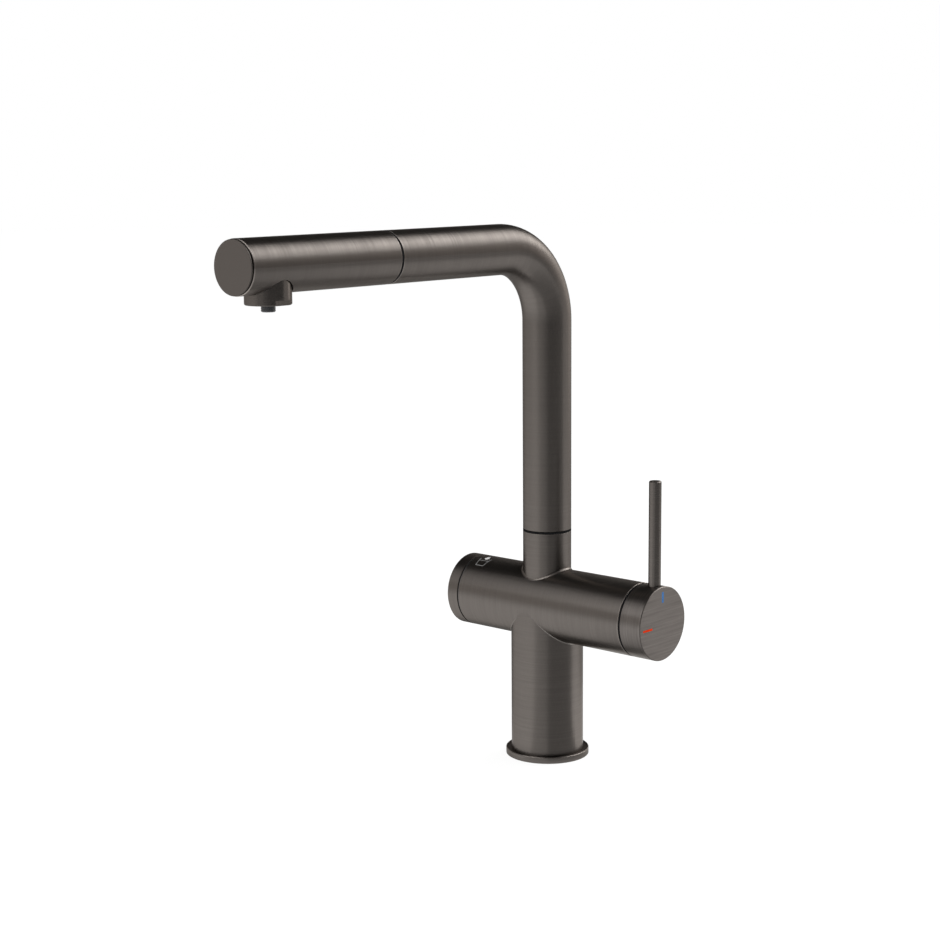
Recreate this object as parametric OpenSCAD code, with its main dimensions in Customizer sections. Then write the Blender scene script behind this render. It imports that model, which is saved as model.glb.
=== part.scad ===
// Three-way kitchen mixer with a filtered-water outlet and a pull-out wand.
// Millimetres. The origin is the tap hole's centre on the worktop's top face.
// +Z is up, the spout arm points to -Y, the mixer handle is at +X and the filter knob at -X.

/* [Overall] */
// Height of the spout arm's axis above the worktop
arm_z = 318; // [280:1:380]
// Distance from the column's axis to the outlet's axis
reach = 228.3; // [215:0.1:280]
// How far the wand runs on past the outlet's axis
tip_overhang = 23.9; // [21:0.1:40]
// Height of the cross tube's axis above the worktop
cross_z = 97; // [88:1:125]

/* [Body] */
// Outer diameter of the column
column_d = 45; // [44:0.5:47]
// Outer diameter of the cross tube, the handle and the knob
cross_d = 45; // [44.5:0.5:48]
// Outer diameter of the neck, the spout and the wand
tube_d = 30; // [29.5:0.25:33]
// Height of the neck's top face above the cross tube's axis
neck_rise = 46; // [40:1:60]
// Reach of the cross tube on the handle side
cross_right = 72.8; // [70:0.2:90]
// Reach of the cross tube on the knob side
cross_left = 54.9; // [54:0.1:70]
// Small chamfer on the turned edges
edge = 0.35; // [0.2:0.05:0.45]
// Radius of the way that the hose takes through the body
passage_r = 5.9; // [5.6:0.1:6.1]

/* [Base and fixing] */
// Outer diameter of the base ring
base_d = 52; // [50:0.5:60]
// Height of the base ring
base_h = 4; // [3.6:0.1:7]
// Width of the raised rim round the base ring's top
base_rim = 0.8; // [0.5:0.1:1.4]
// Depth of the dip inside that rim
base_dip = 0.5; // [0.2:0.1:0.8]
// Depth of the seat that the column's foot stands in, below the rim
foot_seat = 1; // [0.9:0.05:1.3]
// Outer diameter of the threaded fixing shank
shank_d = 33; // [32.5:0.25:34]
// Bore of the fixing shank, for the hoses
shank_bore = 28; // [27.8:0.1:28.8]
// Length of shank below the worktop's top face
shank_drop = 64; // [62:1:90]
// Length of shank thread inside the column
shank_grip = 15; // [10:1:18]
// Thickness of the worktop that the fixings are drawn up against
worktop_t = 38; // [20:1:40]
// Thickness of the rubber ring under the worktop
under_rubber_t = 3; // [2:0.5:4]
// Thickness of the steel washer under it
under_washer_t = 2; // [1.5:0.5:3]
// Outer diameter of the rubber ring, the washer and the nut
under_d = 50; // [50:1:60]
// Height of the shank nut
nut_h = 8; // [6:1:10]
// Gap between the washer and the nut, bridged by the tension screws
nut_gap = 5; // [3:1:6]
// Radius of a tension screw
tension_r = 2; // [1.5:0.25:2.2]

/* [Supply ports] */
// Number of threaded ports inside the foot of the body
port_count = 5; // [5]
// Radius of the ring that the ports stand on
port_ring_r = 10.2; // [10.1:0.05:10.3]
// Core radius of a port thread
port_r = 3.45; // [3.2:0.05:3.5]
// Depth of a port thread
port_depth = 12; // [8:1:16]
// Height of the ports' face above the worktop
port_z = 32; // [30:1:36]
// Radius of the upright water channels
channel_r = 1.75; // [1.5:0.05:1.9]

/* [Mixer valve] */
// Radius of the mixer cartridge
mixer_r = 17.5; // [17:0.25:17.75]
// Distance from the column's axis to the mixer cartridge's seat
mixer_seat_x = 30; // [28:0.5:31]
// Length of the mixer cartridge
mixer_l = 27; // [25:0.5:27.5]
// Length of the nut that holds the mixer cartridge
mixer_nut_l = 11.8; // [10:0.1:12.3]
// Radius of the mixer spindle
mixer_spindle_r = 4.98; // [4:0.02:5.5]

/* [Filter valve] */
// Radius of the filter valve's body
filter_r = 12; // [11:0.25:13]
// Distance from the column's axis to the filter valve's seat
filter_seat_x = 28; // [27:0.5:28.5]
// Length of the filter valve's body
filter_l = 16; // [15:0.5:16.5]
// Length of the nut that holds it
filter_nut_l = 8; // [6:0.5:8.5]
// Radius of the filter spindle
filter_spindle_r = 3.5; // [3:0.1:4]

/* [Handle and knob] */
// Gap between the cross tube and the handle
handle_gap = 1.1; // [0.8:0.1:1.6]
// Length of the handle cap
handle_l = 15.2; // [13.5:0.1:20]
// Distance from the handle's end face back to the lever pin's axis
lever_back = 6.2; // [5:0.1:7]
// Diameter of the lever pin
lever_d = 7.5; // [6:0.1:8]
// Height of the lever pin's tip above the cross tube's axis
lever_top = 85.6; // [60:0.1:120]
// Gap between the cross tube and the knob
knob_gap = 0.6; // [0.5:0.1:1.2]
// Length of the filter knob
knob_l = 8.5; // [8:0.1:14]

/* [Marks] */
// Depth of the coloured inlays
mark_depth = 0.3; // [0.2:0.05:0.5]
// Width of the cold mark on the handle's end face
cold_w = 1.8; // [0.8:0.1:2.4]
// Width of the hot mark
hot_w = 1.25; // [0.8:0.05:2.4]
// Line width of the drinking-glass sign
sign_w = 0.5; // [0.4:0.05:0.6]

/* [Spout] */
// Wall of the spout and of the wand's shell
tube_wall = 1.5; // [1.2:0.05:1.5]
// Radius of the spout's bend, at the middle of the tube
bend_r = 45; // [40:1:55]
// Height of the wear ring between the neck and the spout
wear_h = 0.9; // [0.6:0.1:1.5]
// Outer radius of the swivel socket
socket_r = 10; // [9.8:0.1:10.4]
// Bore radius of the swivel socket
socket_bore = 7; // [6.5:0.1:7.1]
// Length of the swivel socket above the neck
socket_rise = 30; // [29:1:40]
// Length of the swivel socket inside the neck
socket_grip = 24; // [18:1:25]
// Turn of the spout to each side, up to its stop, in degrees
swivel_each_way = 135; // [60:5:150]
// Radius of the stop screw
stop_r = 1.95; // [1.5:0.05:2]

/* [Wand] */
// Distance from the outlet's axis back to the wand's rear edge
wand_back = 86.6; // [78:0.1:90]
// Gap between the wand and the spout
wand_gap = 1.2; // [0.8:0.1:2]
// How far the end disc stands out of the wand's shell
disc_proud = 1.6; // [1.2:0.1:2.5]
// Length of the sleeve that the wand docks in
dock_l = 28; // [26:1:32]
// Radius of the wand's spigot
spigot_r = 10.5; // [10:0.05:11]
// Length of the spigot inside the dock
spigot_l = 21; // [18:1:23]
// Radius of the pull-out hose
hose_r = 5.25; // [5:0.05:5.4]
// Distance of each water way in the wand from its axis
way_offset = 4.8; // [4.5:0.1:5]

/* [Outlet] */
// Outer diameter of the outlet collar
collar_d = 25.3; // [24:0.1:25.5]
// Gap round the collar where it comes out of the wand's shell
collar_gap = 0.6; // [0.3:0.05:0.8]
// How far the collar stands below the wand
collar_drop = 5.5; // [5:0.1:8]
// Diameter of the inner stem for filtered water
stem_d = 7.8; // [6.5:0.1:8.4]
// How far that stem stands below the collar
stem_drop = 3.8; // [2:0.1:6]
// Height of the spanner flats on the collar
flat_h = 2.8; // [2:0.1:3.5]
// Distance across the spanner flats
flat_w = 23; // [22.5:0.1:23.5]

/* [Hidden] */
$fn = 96;

// Clearances: a running fit, a thread or seat within one piece's housing, and a free gap
run_fit = 0.05;
seat_fit = 0.04;
free_gap = 0.3;
// Overlap used where one solid of a union or a cut runs into the next
lap = 0.5;

column_r = column_d / 2;
cross_r = cross_d / 2;
tube_r = tube_d / 2;
tube_bore = tube_r - tube_wall;
base_r = base_d / 2;
shank_r = shank_d / 2;
cavity_r = shank_bore / 2 + free_gap;
foot_z = base_h - foot_seat;
shank_top = foot_z + shank_grip;
neck_top = cross_z + neck_rise;
spout_foot = neck_top + wear_h + 2 * run_fit;
bend_z = arm_z - bend_r;
arm_end = reach - wand_back - wand_gap;
wand_rear = reach - wand_back;
tip = reach + tip_overhang;
shell_front = tip - disc_proud;
spigot_end = wand_rear - wand_gap - spigot_l;
handle_x = cross_right + handle_gap;
handle_end = handle_x + handle_l;
lever_x = handle_end - lever_back;
knob_x = cross_left + knob_gap;

// Under the worktop
washer_z = -worktop_t - under_rubber_t;
nut_top = washer_z - under_washer_t - nut_gap;
tension_ring_r = (shank_r + under_d / 2) / 2;
tension_count = 3;
seal_in = shank_r + 2.4;
seal_out = seal_in + 3.2;
seal_h = 1.7;
thread_edge = 0.8;

// Ports: three feed the mixer valve, two the filter valve
port_step = 360 / port_count;
port_angles = [for (i = [0 : port_count - 1]) i * port_step];
side_port_y = port_ring_r * sin(port_step);
side_port_x = port_ring_r * cos(port_step);
filter_port_y = port_ring_r * sin(2 * port_step);
filter_port_x = port_ring_r * cos(2 * port_step);
mixer_side_rise = 3;
mixer_low_drop = 6;
cross_channel_r = channel_r - 0.15;

// Both valves: chamfer of their bodies, play round the moving disc and the spindle's carrier
valve_edge = 0.4;
disc_play = 0.6;
carrier_play = 1.2;
seat_seal_t = 1;

// Inside the mixer cartridge, measured from its seat
mixer_base_t = 3;
disc_t = 3.5;
mixer_disc_r = mixer_r - 3.5;
mixer_carrier_t = 5;
mixer_neck_l = 6;
mixer_foot = mixer_seat_x + seat_seal_t;
mixer_top = mixer_foot + mixer_l;
mixer_thread_r = mixer_r + 1.3;
handle_cavity_l = 3.6;
handle_bore_l = 7;
nut_bore_gap = 3;
slip_ring_t = 1.3;
slip_ring_r = cross_r - 1.1;
handle_ring_bore = mixer_thread_r + 0.4;
knob_ring_bore = cross_r - 4;

// Inside the filter valve, measured from its seat
filter_base_t = 2;
filter_disc_t = 2.5;
filter_disc_r = filter_r - 2.5;
filter_carrier_t = 2.6;
filter_neck_l = 5;
filter_foot = filter_seat_x + seat_seal_t;
filter_top = filter_foot + filter_l;
filter_thread_r = filter_r + 1.9;
knob_cavity_l = 1.5;
knob_bore_l = 4.4;

// Swivel
socket_top = neck_top + socket_rise;
socket_foot = neck_top - socket_grip;
ring_section = 0.53;
ring_groove_h = 1.4;
low_ring_rise = 3.5;
high_ring_rise = 21;
stop_rise = 12;
o_ring_zs = [spout_foot + low_ring_rise, spout_foot + high_ring_rise];
stop_z = spout_foot + stop_rise;
stop_depth = 0.85;
stop_sink = 0.5;
socket_edge = 0.5;
stop_half_arc = swivel_each_way + asin(stop_r / (socket_r - stop_depth)) + 1;

// Wand and outlet
key_w = 2;
key_rise = 1;
key_fit = 0.2;
key_back = 6;
spigot_flange_l = 7;
spigot_edge = 0.8;
spigot_ring_back = 3;
flange_gap = 0.2;
check_r = 3;
check_bore = 1.6;
ferrule_l = 13;
ferrule_web = 1.5;
hose_way_y = way_offset / 2;
ferrule_r = hose_r + 1.1;
hose_start = bend_r + 2.5;
hose_foot = port_z + 2;
collar_r = collar_d / 2;
stem_r = stem_d / 2;
collar_z = arm_z - tube_r - collar_drop;
collar_h = 13.5;
collar_top = collar_z + collar_h;
stem_z = collar_z - stem_drop;
aerator_lip = 1;
aerator_h = 10.2;
aerator_r = collar_r - 1.6;
aerator_seat_w = 0.8;
collar_edge = 0.5;
core_r = tube_bore - 0.1;
core_back = 4;
core_end = shell_front - core_back;
end_cap_grip = 2.8;
end_cap_r = tube_r - 0.7;
end_cap_neck_r = end_cap_r - 0.5;
end_disc_r = tube_r - 0.3;
end_disc_t = 0.5;
end_disc_bevel = 0.2;
chamber_r = 9;
chamber_h = 3;
stem_grip = 2;
mixed_way_r = channel_r + 0.4;
filtered_way_r = channel_r + 0.1;

// A turned bar along +Z from z = 0, chamfered at its foot and its top
module turned_bar(r, h, foot = 0, top = 0) {
    rotate_extrude()
        polygon([[0, 0], [r - foot, 0], [r, foot], [r, h - top], [r - top, h], [0, h]]);
}

module ring(outer, inner, h) {
    difference() {
        cylinder(r = outer, h = h);
        translate([0, 0, -lap])
            cylinder(r = inner, h = h + 2 * lap);
    }
}

// Local +Z runs along +X from the given distance, on the cross tube's axis
module to_right(x) {
    translate([x, 0, cross_z])
        rotate([0, 90, 0])
            children();
}

// Local +Z runs along -X from the given distance, on the cross tube's axis
module to_left(x) {
    translate([-x, 0, cross_z])
        rotate([0, -90, 0])
            children();
}

// Local +Z runs along -Y, towards the outlet, on the arm's axis; local X stays, local Y is up
module to_front(y) {
    translate([0, -y, arm_z])
        rotate([90, 0, 0])
            children();
}

module at_outlet(z) {
    translate([0, -reach, z])
        children();
}

// The three mixer ports on the cartridge's face, for children drawn at the origin
module at_mixer_ports() {
    for (side = [-1, 1])
        translate([-mixer_side_rise, side * side_port_y, 0])
            children();
    translate([mixer_low_drop, 0, 0])
        children();
}

module at_filter_ports() {
    for (side = [-1, 1])
        translate([0, side * filter_port_y, 0])
            children();
}

// Body

// A water channel: upright from the port at [x, y] to the height z, then level to the valve's face
module water_channel(x, y, z, face_x) {
    port_top = port_z + port_depth;
    translate([x, y, port_top - lap])
        cylinder(r = channel_r, h = z + channel_r - port_top + lap);
    level_l = abs(face_x - x) + lap;
    translate([x, y, z])
        rotate([0, face_x > x ? 90 : -90, 0])
            cylinder(r = cross_channel_r, h = level_l);
}

module water_ways() {
    for (a = port_angles)
        translate([port_ring_r * cos(a), port_ring_r * sin(a), port_z - lap])
            cylinder(r = port_r, h = port_depth + lap);
    for (side = [-1, 1]) {
        water_channel(side_port_x, side * side_port_y, cross_z + mixer_side_rise, mixer_seat_x);
        water_channel(filter_port_x, side * filter_port_y, cross_z, -filter_seat_x);
    }
    water_channel(port_ring_r, 0, cross_z - mixer_low_drop, mixer_seat_x);
}

module main_body() {
    color([0.36, 0.34, 0.32])
    difference() {
        union() {
            translate([0, 0, foot_z])
                turned_bar(column_r, cross_z - foot_z, foot = edge);
            to_left(cross_left)
                mirror([0, 0, 1])
                    turned_bar(cross_r, cross_left + cross_right, foot = edge, top = edge);
            translate([0, 0, cross_z])
                turned_bar(tube_r, neck_rise, top = edge);
        }
        translate([0, 0, foot_z - lap])
            cylinder(r = shank_r + seat_fit, h = shank_grip + lap);
        translate([0, 0, shank_top - lap])
            cylinder(r = cavity_r, h = port_z - shank_top + lap);
        translate([0, 0, port_z - lap])
            cylinder(r = passage_r, h = socket_foot - port_z + 2 * lap);
        translate([0, 0, socket_foot])
            cylinder(r = socket_r + seat_fit, h = socket_grip + lap);
        water_ways();
        to_right(mixer_seat_x)
            cylinder(r = mixer_r + seat_fit, h = cross_right - mixer_seat_x + lap);
        to_right(mixer_top)
            cylinder(r = mixer_thread_r, h = cross_right - mixer_top + lap);
        to_right(cross_right + handle_gap - slip_ring_t - run_fit)
            cylinder(r = slip_ring_r, h = slip_ring_t + lap);
        to_left(filter_seat_x)
            cylinder(r = filter_r + seat_fit, h = cross_left - filter_seat_x + lap);
        to_left(filter_top)
            cylinder(r = filter_thread_r, h = cross_left - filter_top + lap);
        to_left(cross_left + knob_gap - slip_ring_t - run_fit)
            cylinder(r = slip_ring_r, h = slip_ring_t + lap);
        sign_inlay();
    }
}

module handle_slip_ring() {
    color([0.05, 0.05, 0.06])
        to_right(cross_right + handle_gap - slip_ring_t - run_fit)
            ring(slip_ring_r - seat_fit, handle_ring_bore, slip_ring_t - run_fit);
}

module knob_slip_ring() {
    color([0.12, 0.12, 0.13])
        to_left(cross_left + knob_gap - slip_ring_t - run_fit)
            ring(slip_ring_r - seat_fit, knob_ring_bore, slip_ring_t - run_fit);
}

// The sign for filtered water: a drinking glass with a drop above it, seen from above.
// Its foot lies towards the front, on the knob side of the cross tube.
sign_x = -45.9;
sign_foot_y = -12.3;
sign_rim_y = -4.9;
sign_foot_w = 6.4;
sign_rim_w = 9.2;
sign_level = 0.62;
sign_open = 1.2;
drop_y = -4.4;
drop_r = 1.55;
drop_tip = 3.5;

// The glass between two levels, from 0 at its foot to 1 at its rim, drawn in by an inset
module glass_part(from, to, inset) {
    level_y = function(t) sign_foot_y + t * (sign_rim_y - sign_foot_y);
    half_w = function(t) (sign_foot_w + t * (sign_rim_w - sign_foot_w)) / 2 - inset;
    polygon([[-half_w(from), level_y(from)], [half_w(from), level_y(from)],
        [half_w(to), level_y(to)], [-half_w(to), level_y(to)]]);
}

module sign_shape() {
    line = sign_w / (sign_rim_y - sign_foot_y);
    difference() {
        glass_part(0, 1, 0);
        glass_part(line, sign_level, sign_w);
        glass_part(sign_level + line, sign_open, sign_w);
    }
    translate([0, drop_y])
        polygon(concat([for (a = [160 : 20 : 380]) drop_r * [cos(a), sin(a)]],
            [[0, drop_tip]]));
}

module sign_inlay() {
    intersection() {
        translate([sign_x, 0, cross_z])
            linear_extrude(height = cross_r + lap)
                sign_shape();
        to_left(-sign_x - sign_rim_w)
            ring(cross_r + lap, cross_r - mark_depth, 2 * sign_rim_w);
    }
}

module filter_sign() {
    color([0.8, 0.8, 0.8])
        intersection() {
            sign_inlay();
            to_left(-sign_x - sign_rim_w)
                cylinder(r = cross_r, h = 2 * sign_rim_w);
        }
}

// Base and fixing

module base_ring() {
    color([0.33, 0.31, 0.29])
    difference() {
        turned_bar(base_r, base_h, foot = edge / 2, top = edge);
        translate([0, 0, -lap])
            cylinder(r = shank_r + free_gap, h = base_h + 2 * lap);
        translate([0, 0, base_h - base_dip])
            cylinder(r = base_r - base_rim, h = base_dip + lap);
        translate([0, 0, foot_z])
            cylinder(r = column_r + seat_fit, h = foot_seat + lap);
        translate([0, 0, -lap])
            ring(seal_out + seat_fit, seal_in - seat_fit, seal_h + lap);
    }
}

module base_seal() {
    color([0.08, 0.08, 0.08])
        ring(seal_out, seal_in, seal_h);
}

module fixing_shank() {
    color([0.72, 0.58, 0.32])
        translate([0, 0, -shank_drop])
            difference() {
                turned_bar(shank_r, shank_drop + shank_top, foot = thread_edge, top = thread_edge);
                translate([0, 0, -lap])
                    cylinder(d = shank_bore, h = shank_drop + shank_top + 2 * lap);
            }
}

module under_rubber() {
    color([0.07, 0.07, 0.07])
        translate([0, 0, washer_z])
            ring(under_d / 2, shank_r + free_gap, under_rubber_t);
}

module under_washer() {
    color([0.7, 0.7, 0.72])
        translate([0, 0, washer_z - under_washer_t])
            ring(under_d / 2, shank_r + free_gap, under_washer_t);
}

module at_tension_screws() {
    for (i = [0 : tension_count - 1])
        rotate([0, 0, i * 360 / tension_count])
            translate([tension_ring_r, 0, 0])
                children();
}

// Six round notches take the spanner
module shank_nut() {
    notch_count = 6;
    notch_r = 4;
    notch_centre_r = under_d / 2 + 2;
    color([0.75, 0.6, 0.33])
        translate([0, 0, nut_top - nut_h])
            difference() {
                turned_bar(under_d / 2, nut_h, foot = thread_edge, top = thread_edge);
                translate([0, 0, -lap])
                    cylinder(r = shank_r + seat_fit, h = nut_h + 2 * lap);
                at_tension_screws()
                    translate([0, 0, -lap])
                        cylinder(r = tension_r + seat_fit, h = nut_h + 2 * lap);
                for (i = [0 : notch_count - 1])
                    rotate([0, 0, (i + 0.5) * 360 / notch_count])
                        translate([notch_centre_r, 0, -lap])
                            cylinder(r = notch_r, h = nut_h + 2 * lap);
            }
}

module tension_screws() {
    head_h = 3;
    head_gap = 1;
    head_r = 1.7 * tension_r;
    slot_w = 0.8;
    slot_depth = 1.2;
    color([0.65, 0.65, 0.67])
        at_tension_screws()
            translate([0, 0, nut_top - nut_h - head_gap - head_h])
                difference() {
                    union() {
                        cylinder(r = head_r, h = head_h);
                        cylinder(r = tension_r, h = head_h + head_gap + nut_h + nut_gap);
                    }
                    translate([-head_r - lap, -slot_w / 2, -lap])
                        cube([2 * (head_r + lap), slot_w, slot_depth + lap]);
                }
}

// Mixer valve

module mixer_seat_seal() {
    seal_inset = 1.5;
    color([0.1, 0.1, 0.1])
        to_right(mixer_seat_x)
            difference() {
                cylinder(r = mixer_r - seal_inset, h = seat_seal_t);
                at_mixer_ports()
                    translate([0, 0, -lap])
                        cylinder(r = channel_r, h = seat_seal_t + 2 * lap);
            }
}

module mixer_cartridge() {
    color([0.85, 0.85, 0.82])
        to_right(mixer_foot)
            difference() {
                turned_bar(mixer_r, mixer_l, foot = valve_edge, top = valve_edge);
                translate([0, 0, mixer_base_t])
                    cylinder(r = mixer_disc_r + seat_fit,
                        h = mixer_l - mixer_base_t - mixer_neck_l);
                translate([0, 0, mixer_l - mixer_neck_l - lap])
                    cylinder(r = mixer_spindle_r + run_fit, h = mixer_neck_l + 2 * lap);
                at_mixer_ports()
                    translate([0, 0, -lap])
                        cylinder(r = channel_r, h = mixer_base_t + 2 * lap);
            }
}

module mixer_fixed_disc() {
    color([0.93, 0.92, 0.88])
        to_right(mixer_foot + mixer_base_t)
            difference() {
                cylinder(r = mixer_disc_r, h = disc_t);
                at_mixer_ports()
                    translate([0, 0, -lap])
                        cylinder(r = channel_r, h = disc_t + 2 * lap);
            }
}

// The moving disc's pocket joins the outlet port to an inlet as the disc turns
module mixer_moving_disc() {
    pocket_in = mixer_low_drop - 2;
    pocket_w = 6.5;
    pocket_depth = 1.6;
    pocket_arc = 110;
    color([0.9, 0.89, 0.85])
        to_right(mixer_foot + mixer_base_t + disc_t)
            difference() {
                cylinder(r = mixer_disc_r - disc_play, h = disc_t);
                translate([0, 0, -lap])
                    rotate([0, 0, pocket_arc / 2])
                        rotate_extrude(angle = pocket_arc)
                            translate([pocket_in, 0])
                                square([pocket_w, pocket_depth + lap]);
            }
}

module mixer_spindle() {
    carrier_x = mixer_foot + mixer_base_t + 2 * disc_t;
    color([0.78, 0.65, 0.38])
        to_right(carrier_x) {
            cylinder(r = mixer_disc_r - carrier_play, h = mixer_carrier_t);
            cylinder(r = mixer_spindle_r,
                h = handle_x + handle_cavity_l + handle_bore_l - seat_fit - carrier_x);
        }
}

module mixer_nut() {
    key_depth = 5;
    key_r = mixer_r - 3;
    color([0.75, 0.6, 0.33])
        to_right(mixer_top)
            difference() {
                cylinder(r = mixer_thread_r - seat_fit, h = mixer_nut_l);
                translate([0, 0, -lap])
                    cylinder(r = mixer_spindle_r + nut_bore_gap, h = mixer_nut_l + 2 * lap);
                translate([0, 0, mixer_nut_l - key_depth])
                    cylinder(r = key_r, h = key_depth + lap, $fn = 6);
            }
}

// Handle

lever_hole_r = 2.5;
lever_seat_depth = 0.6;
lever_grip = 13;
grub_r = 2;
grub_l = 9;
grub_angle = 215;
knob_grub_r = 1.5;
knob_grub_l = 8;
handle_skirt = 2;
knob_skirt = 3;
cold_from = 12.9;
cold_to = 19.4;
hot_from = 10.1;
hot_to = 19.2;
hot_drop = 1.5;

module at_lever(z) {
    translate([lever_x, 0, cross_z + z])
        children();
}

// Radial screw holes: local +Z points outwards from the spindle's axis, at an angle from the top
module at_handle_grub(r) {
    translate([lever_x, 0, cross_z])
        rotate([grub_angle, 0, 0])
            translate([0, 0, r])
                children();
}

module at_knob_grub(r) {
    translate([-knob_x - knob_cavity_l - knob_bore_l / 2, 0, cross_z])
        rotate([180, 0, 0])
            translate([0, 0, r])
                children();
}

// A line on the handle's end face, from one radius to another, at an angle from the top
module mark_line(angle, inner, outer, width, drop) {
    translate([handle_end - mark_depth, 0, cross_z - drop])
        rotate([angle, 0, 0])
            translate([0, -width / 2, inner])
                cube([mark_depth, width, outer - inner]);
}

module cold_line() {
    mark_line(0, cold_from, cold_to, cold_w, 0);
}

module hot_line() {
    mark_line(90, hot_from, hot_to, hot_w, hot_drop);
}

module handle_cap() {
    color([0.38, 0.36, 0.34])
    difference() {
        to_right(handle_x)
            turned_bar(cross_r, handle_l, foot = edge, top = edge);
        to_right(handle_x - lap)
            cylinder(r = cross_r - handle_skirt, h = handle_cavity_l + lap);
        to_right(handle_x + handle_cavity_l - lap)
            cylinder(r = mixer_spindle_r + seat_fit, h = handle_bore_l + lap);
        at_lever(cross_r - lever_seat_depth - lever_grip)
            cylinder(r = lever_hole_r + seat_fit, h = lever_grip + lap);
        at_lever(cross_r - lever_seat_depth)
            cylinder(r = lever_d / 2 + seat_fit, h = lever_seat_depth + lap);
        at_handle_grub(mixer_spindle_r - lap)
            cylinder(r = grub_r + seat_fit, h = cross_r);
        cold_line();
        hot_line();
    }
}

module lever_pin() {
    r = lever_d / 2;
    seat = cross_r - lever_seat_depth;
    top_edge = 0.5;
    color([0.34, 0.32, 0.3])
        at_lever(seat)
            rotate_extrude()
                polygon([[0, -lever_grip + free_gap], [lever_hole_r, -lever_grip + free_gap],
                    [lever_hole_r, 0], [r, 0],
                    [r, lever_top - seat - top_edge], [r - top_edge, lever_top - seat],
                    [0, lever_top - seat]]);
}

// A headless screw along +Z with a hexagon socket in its outer end
module grub_screw(r, l) {
    key_depth = 2;
    difference() {
        cylinder(r = r, h = l);
        translate([0, 0, l - key_depth])
            cylinder(r = 0.58 * r, h = key_depth + lap, $fn = 6);
    }
}

module handle_grub_screw() {
    color([0.5, 0.5, 0.52])
        at_handle_grub(mixer_spindle_r + seat_fit)
            grub_screw(grub_r, grub_l);
}

module cold_mark() {
    color([0.2, 0.45, 0.75])
        cold_line();
}

module hot_mark() {
    color([0.85, 0.2, 0.08])
        hot_line();
}

// Filter valve and knob

module filter_seat_seal() {
    seal_inset = 1;
    color([0.1, 0.1, 0.1])
        to_left(filter_seat_x)
            difference() {
                cylinder(r = filter_r - seal_inset, h = seat_seal_t);
                at_filter_ports()
                    translate([0, 0, -lap])
                        cylinder(r = channel_r, h = seat_seal_t + 2 * lap);
            }
}

module filter_valve_body() {
    color([0.75, 0.6, 0.33])
        to_left(filter_foot)
            difference() {
                turned_bar(filter_r, filter_l, foot = valve_edge, top = valve_edge);
                translate([0, 0, filter_base_t])
                    cylinder(r = filter_disc_r + seat_fit,
                        h = filter_l - filter_base_t - filter_neck_l);
                translate([0, 0, filter_l - filter_neck_l - lap])
                    cylinder(r = filter_spindle_r + run_fit, h = filter_neck_l + 2 * lap);
                at_filter_ports()
                    translate([0, 0, -lap])
                        cylinder(r = channel_r, h = filter_base_t + 2 * lap);
            }
}

module filter_fixed_disc() {
    color([0.93, 0.92, 0.88])
        to_left(filter_foot + filter_base_t)
            difference() {
                cylinder(r = filter_disc_r, h = filter_disc_t);
                at_filter_ports()
                    translate([0, 0, -lap])
                        cylinder(r = channel_r, h = filter_disc_t + 2 * lap);
            }
}

// A bar-shaped pocket across the moving disc joins the two ports at a quarter turn
module filter_moving_disc() {
    pocket_depth = 1.4;
    color([0.9, 0.89, 0.85])
        to_left(filter_foot + filter_base_t + filter_disc_t)
            difference() {
                cylinder(r = filter_disc_r - disc_play, h = filter_disc_t);
                translate([-filter_port_y - channel_r, -channel_r, -lap])
                    cube([2 * (filter_port_y + channel_r), 2 * channel_r, pocket_depth + lap]);
            }
}

module filter_spindle() {
    carrier_x = filter_foot + filter_base_t + 2 * filter_disc_t;
    color([0.78, 0.65, 0.38])
        to_left(carrier_x) {
            cylinder(r = filter_disc_r - carrier_play, h = filter_carrier_t);
            cylinder(r = filter_spindle_r,
                h = knob_x + knob_cavity_l + knob_bore_l - seat_fit - carrier_x);
        }
}

module filter_nut() {
    key_depth = 3;
    key_r = filter_r - 3;
    color([0.75, 0.6, 0.33])
        to_left(filter_top)
            difference() {
                cylinder(r = filter_thread_r - seat_fit, h = filter_nut_l);
                translate([0, 0, -lap])
                    cylinder(r = filter_spindle_r + nut_bore_gap, h = filter_nut_l + 2 * lap);
                translate([0, 0, filter_nut_l - key_depth])
                    cylinder(r = key_r, h = key_depth + lap, $fn = 6);
            }
}

module filter_knob() {
    color([0.38, 0.36, 0.34])
    difference() {
        to_left(knob_x)
            turned_bar(cross_r, knob_l, foot = edge, top = edge);
        to_left(knob_x - lap)
            cylinder(r = cross_r - knob_skirt, h = knob_cavity_l + lap);
        to_left(knob_x + knob_cavity_l - lap)
            cylinder(r = filter_spindle_r + seat_fit, h = knob_bore_l + lap);
        at_knob_grub(filter_spindle_r - lap)
            cylinder(r = knob_grub_r + seat_fit, h = cross_r);
    }
}

module knob_grub_screw() {
    color([0.5, 0.5, 0.52])
        at_knob_grub(filter_spindle_r + seat_fit)
            grub_screw(knob_grub_r, knob_grub_l);
}

// Swivel

module stop_arc(outer, inner, h, half_arc) {
    rotate([0, 0, 90 - half_arc])
        rotate_extrude(angle = 2 * half_arc)
            translate([inner, 0])
                square([outer - inner, h]);
}

module swivel_socket() {
    groove_r = socket_r - 2 * ring_section;
    color([0.75, 0.6, 0.33])
    difference() {
        translate([0, 0, socket_foot])
            turned_bar(socket_r, socket_top - socket_foot, foot = socket_edge, top = socket_edge);
        translate([0, 0, socket_foot - lap])
            cylinder(r = socket_bore, h = socket_top - socket_foot + 2 * lap);
        for (z = o_ring_zs)
            translate([0, 0, z - ring_groove_h / 2])
                ring(socket_r + lap, groove_r, ring_groove_h);
        translate([0, 0, stop_z - stop_r - free_gap])
            stop_arc(socket_r + lap, socket_r - stop_depth, 2 * (stop_r + free_gap), stop_half_arc);
    }
}

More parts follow.
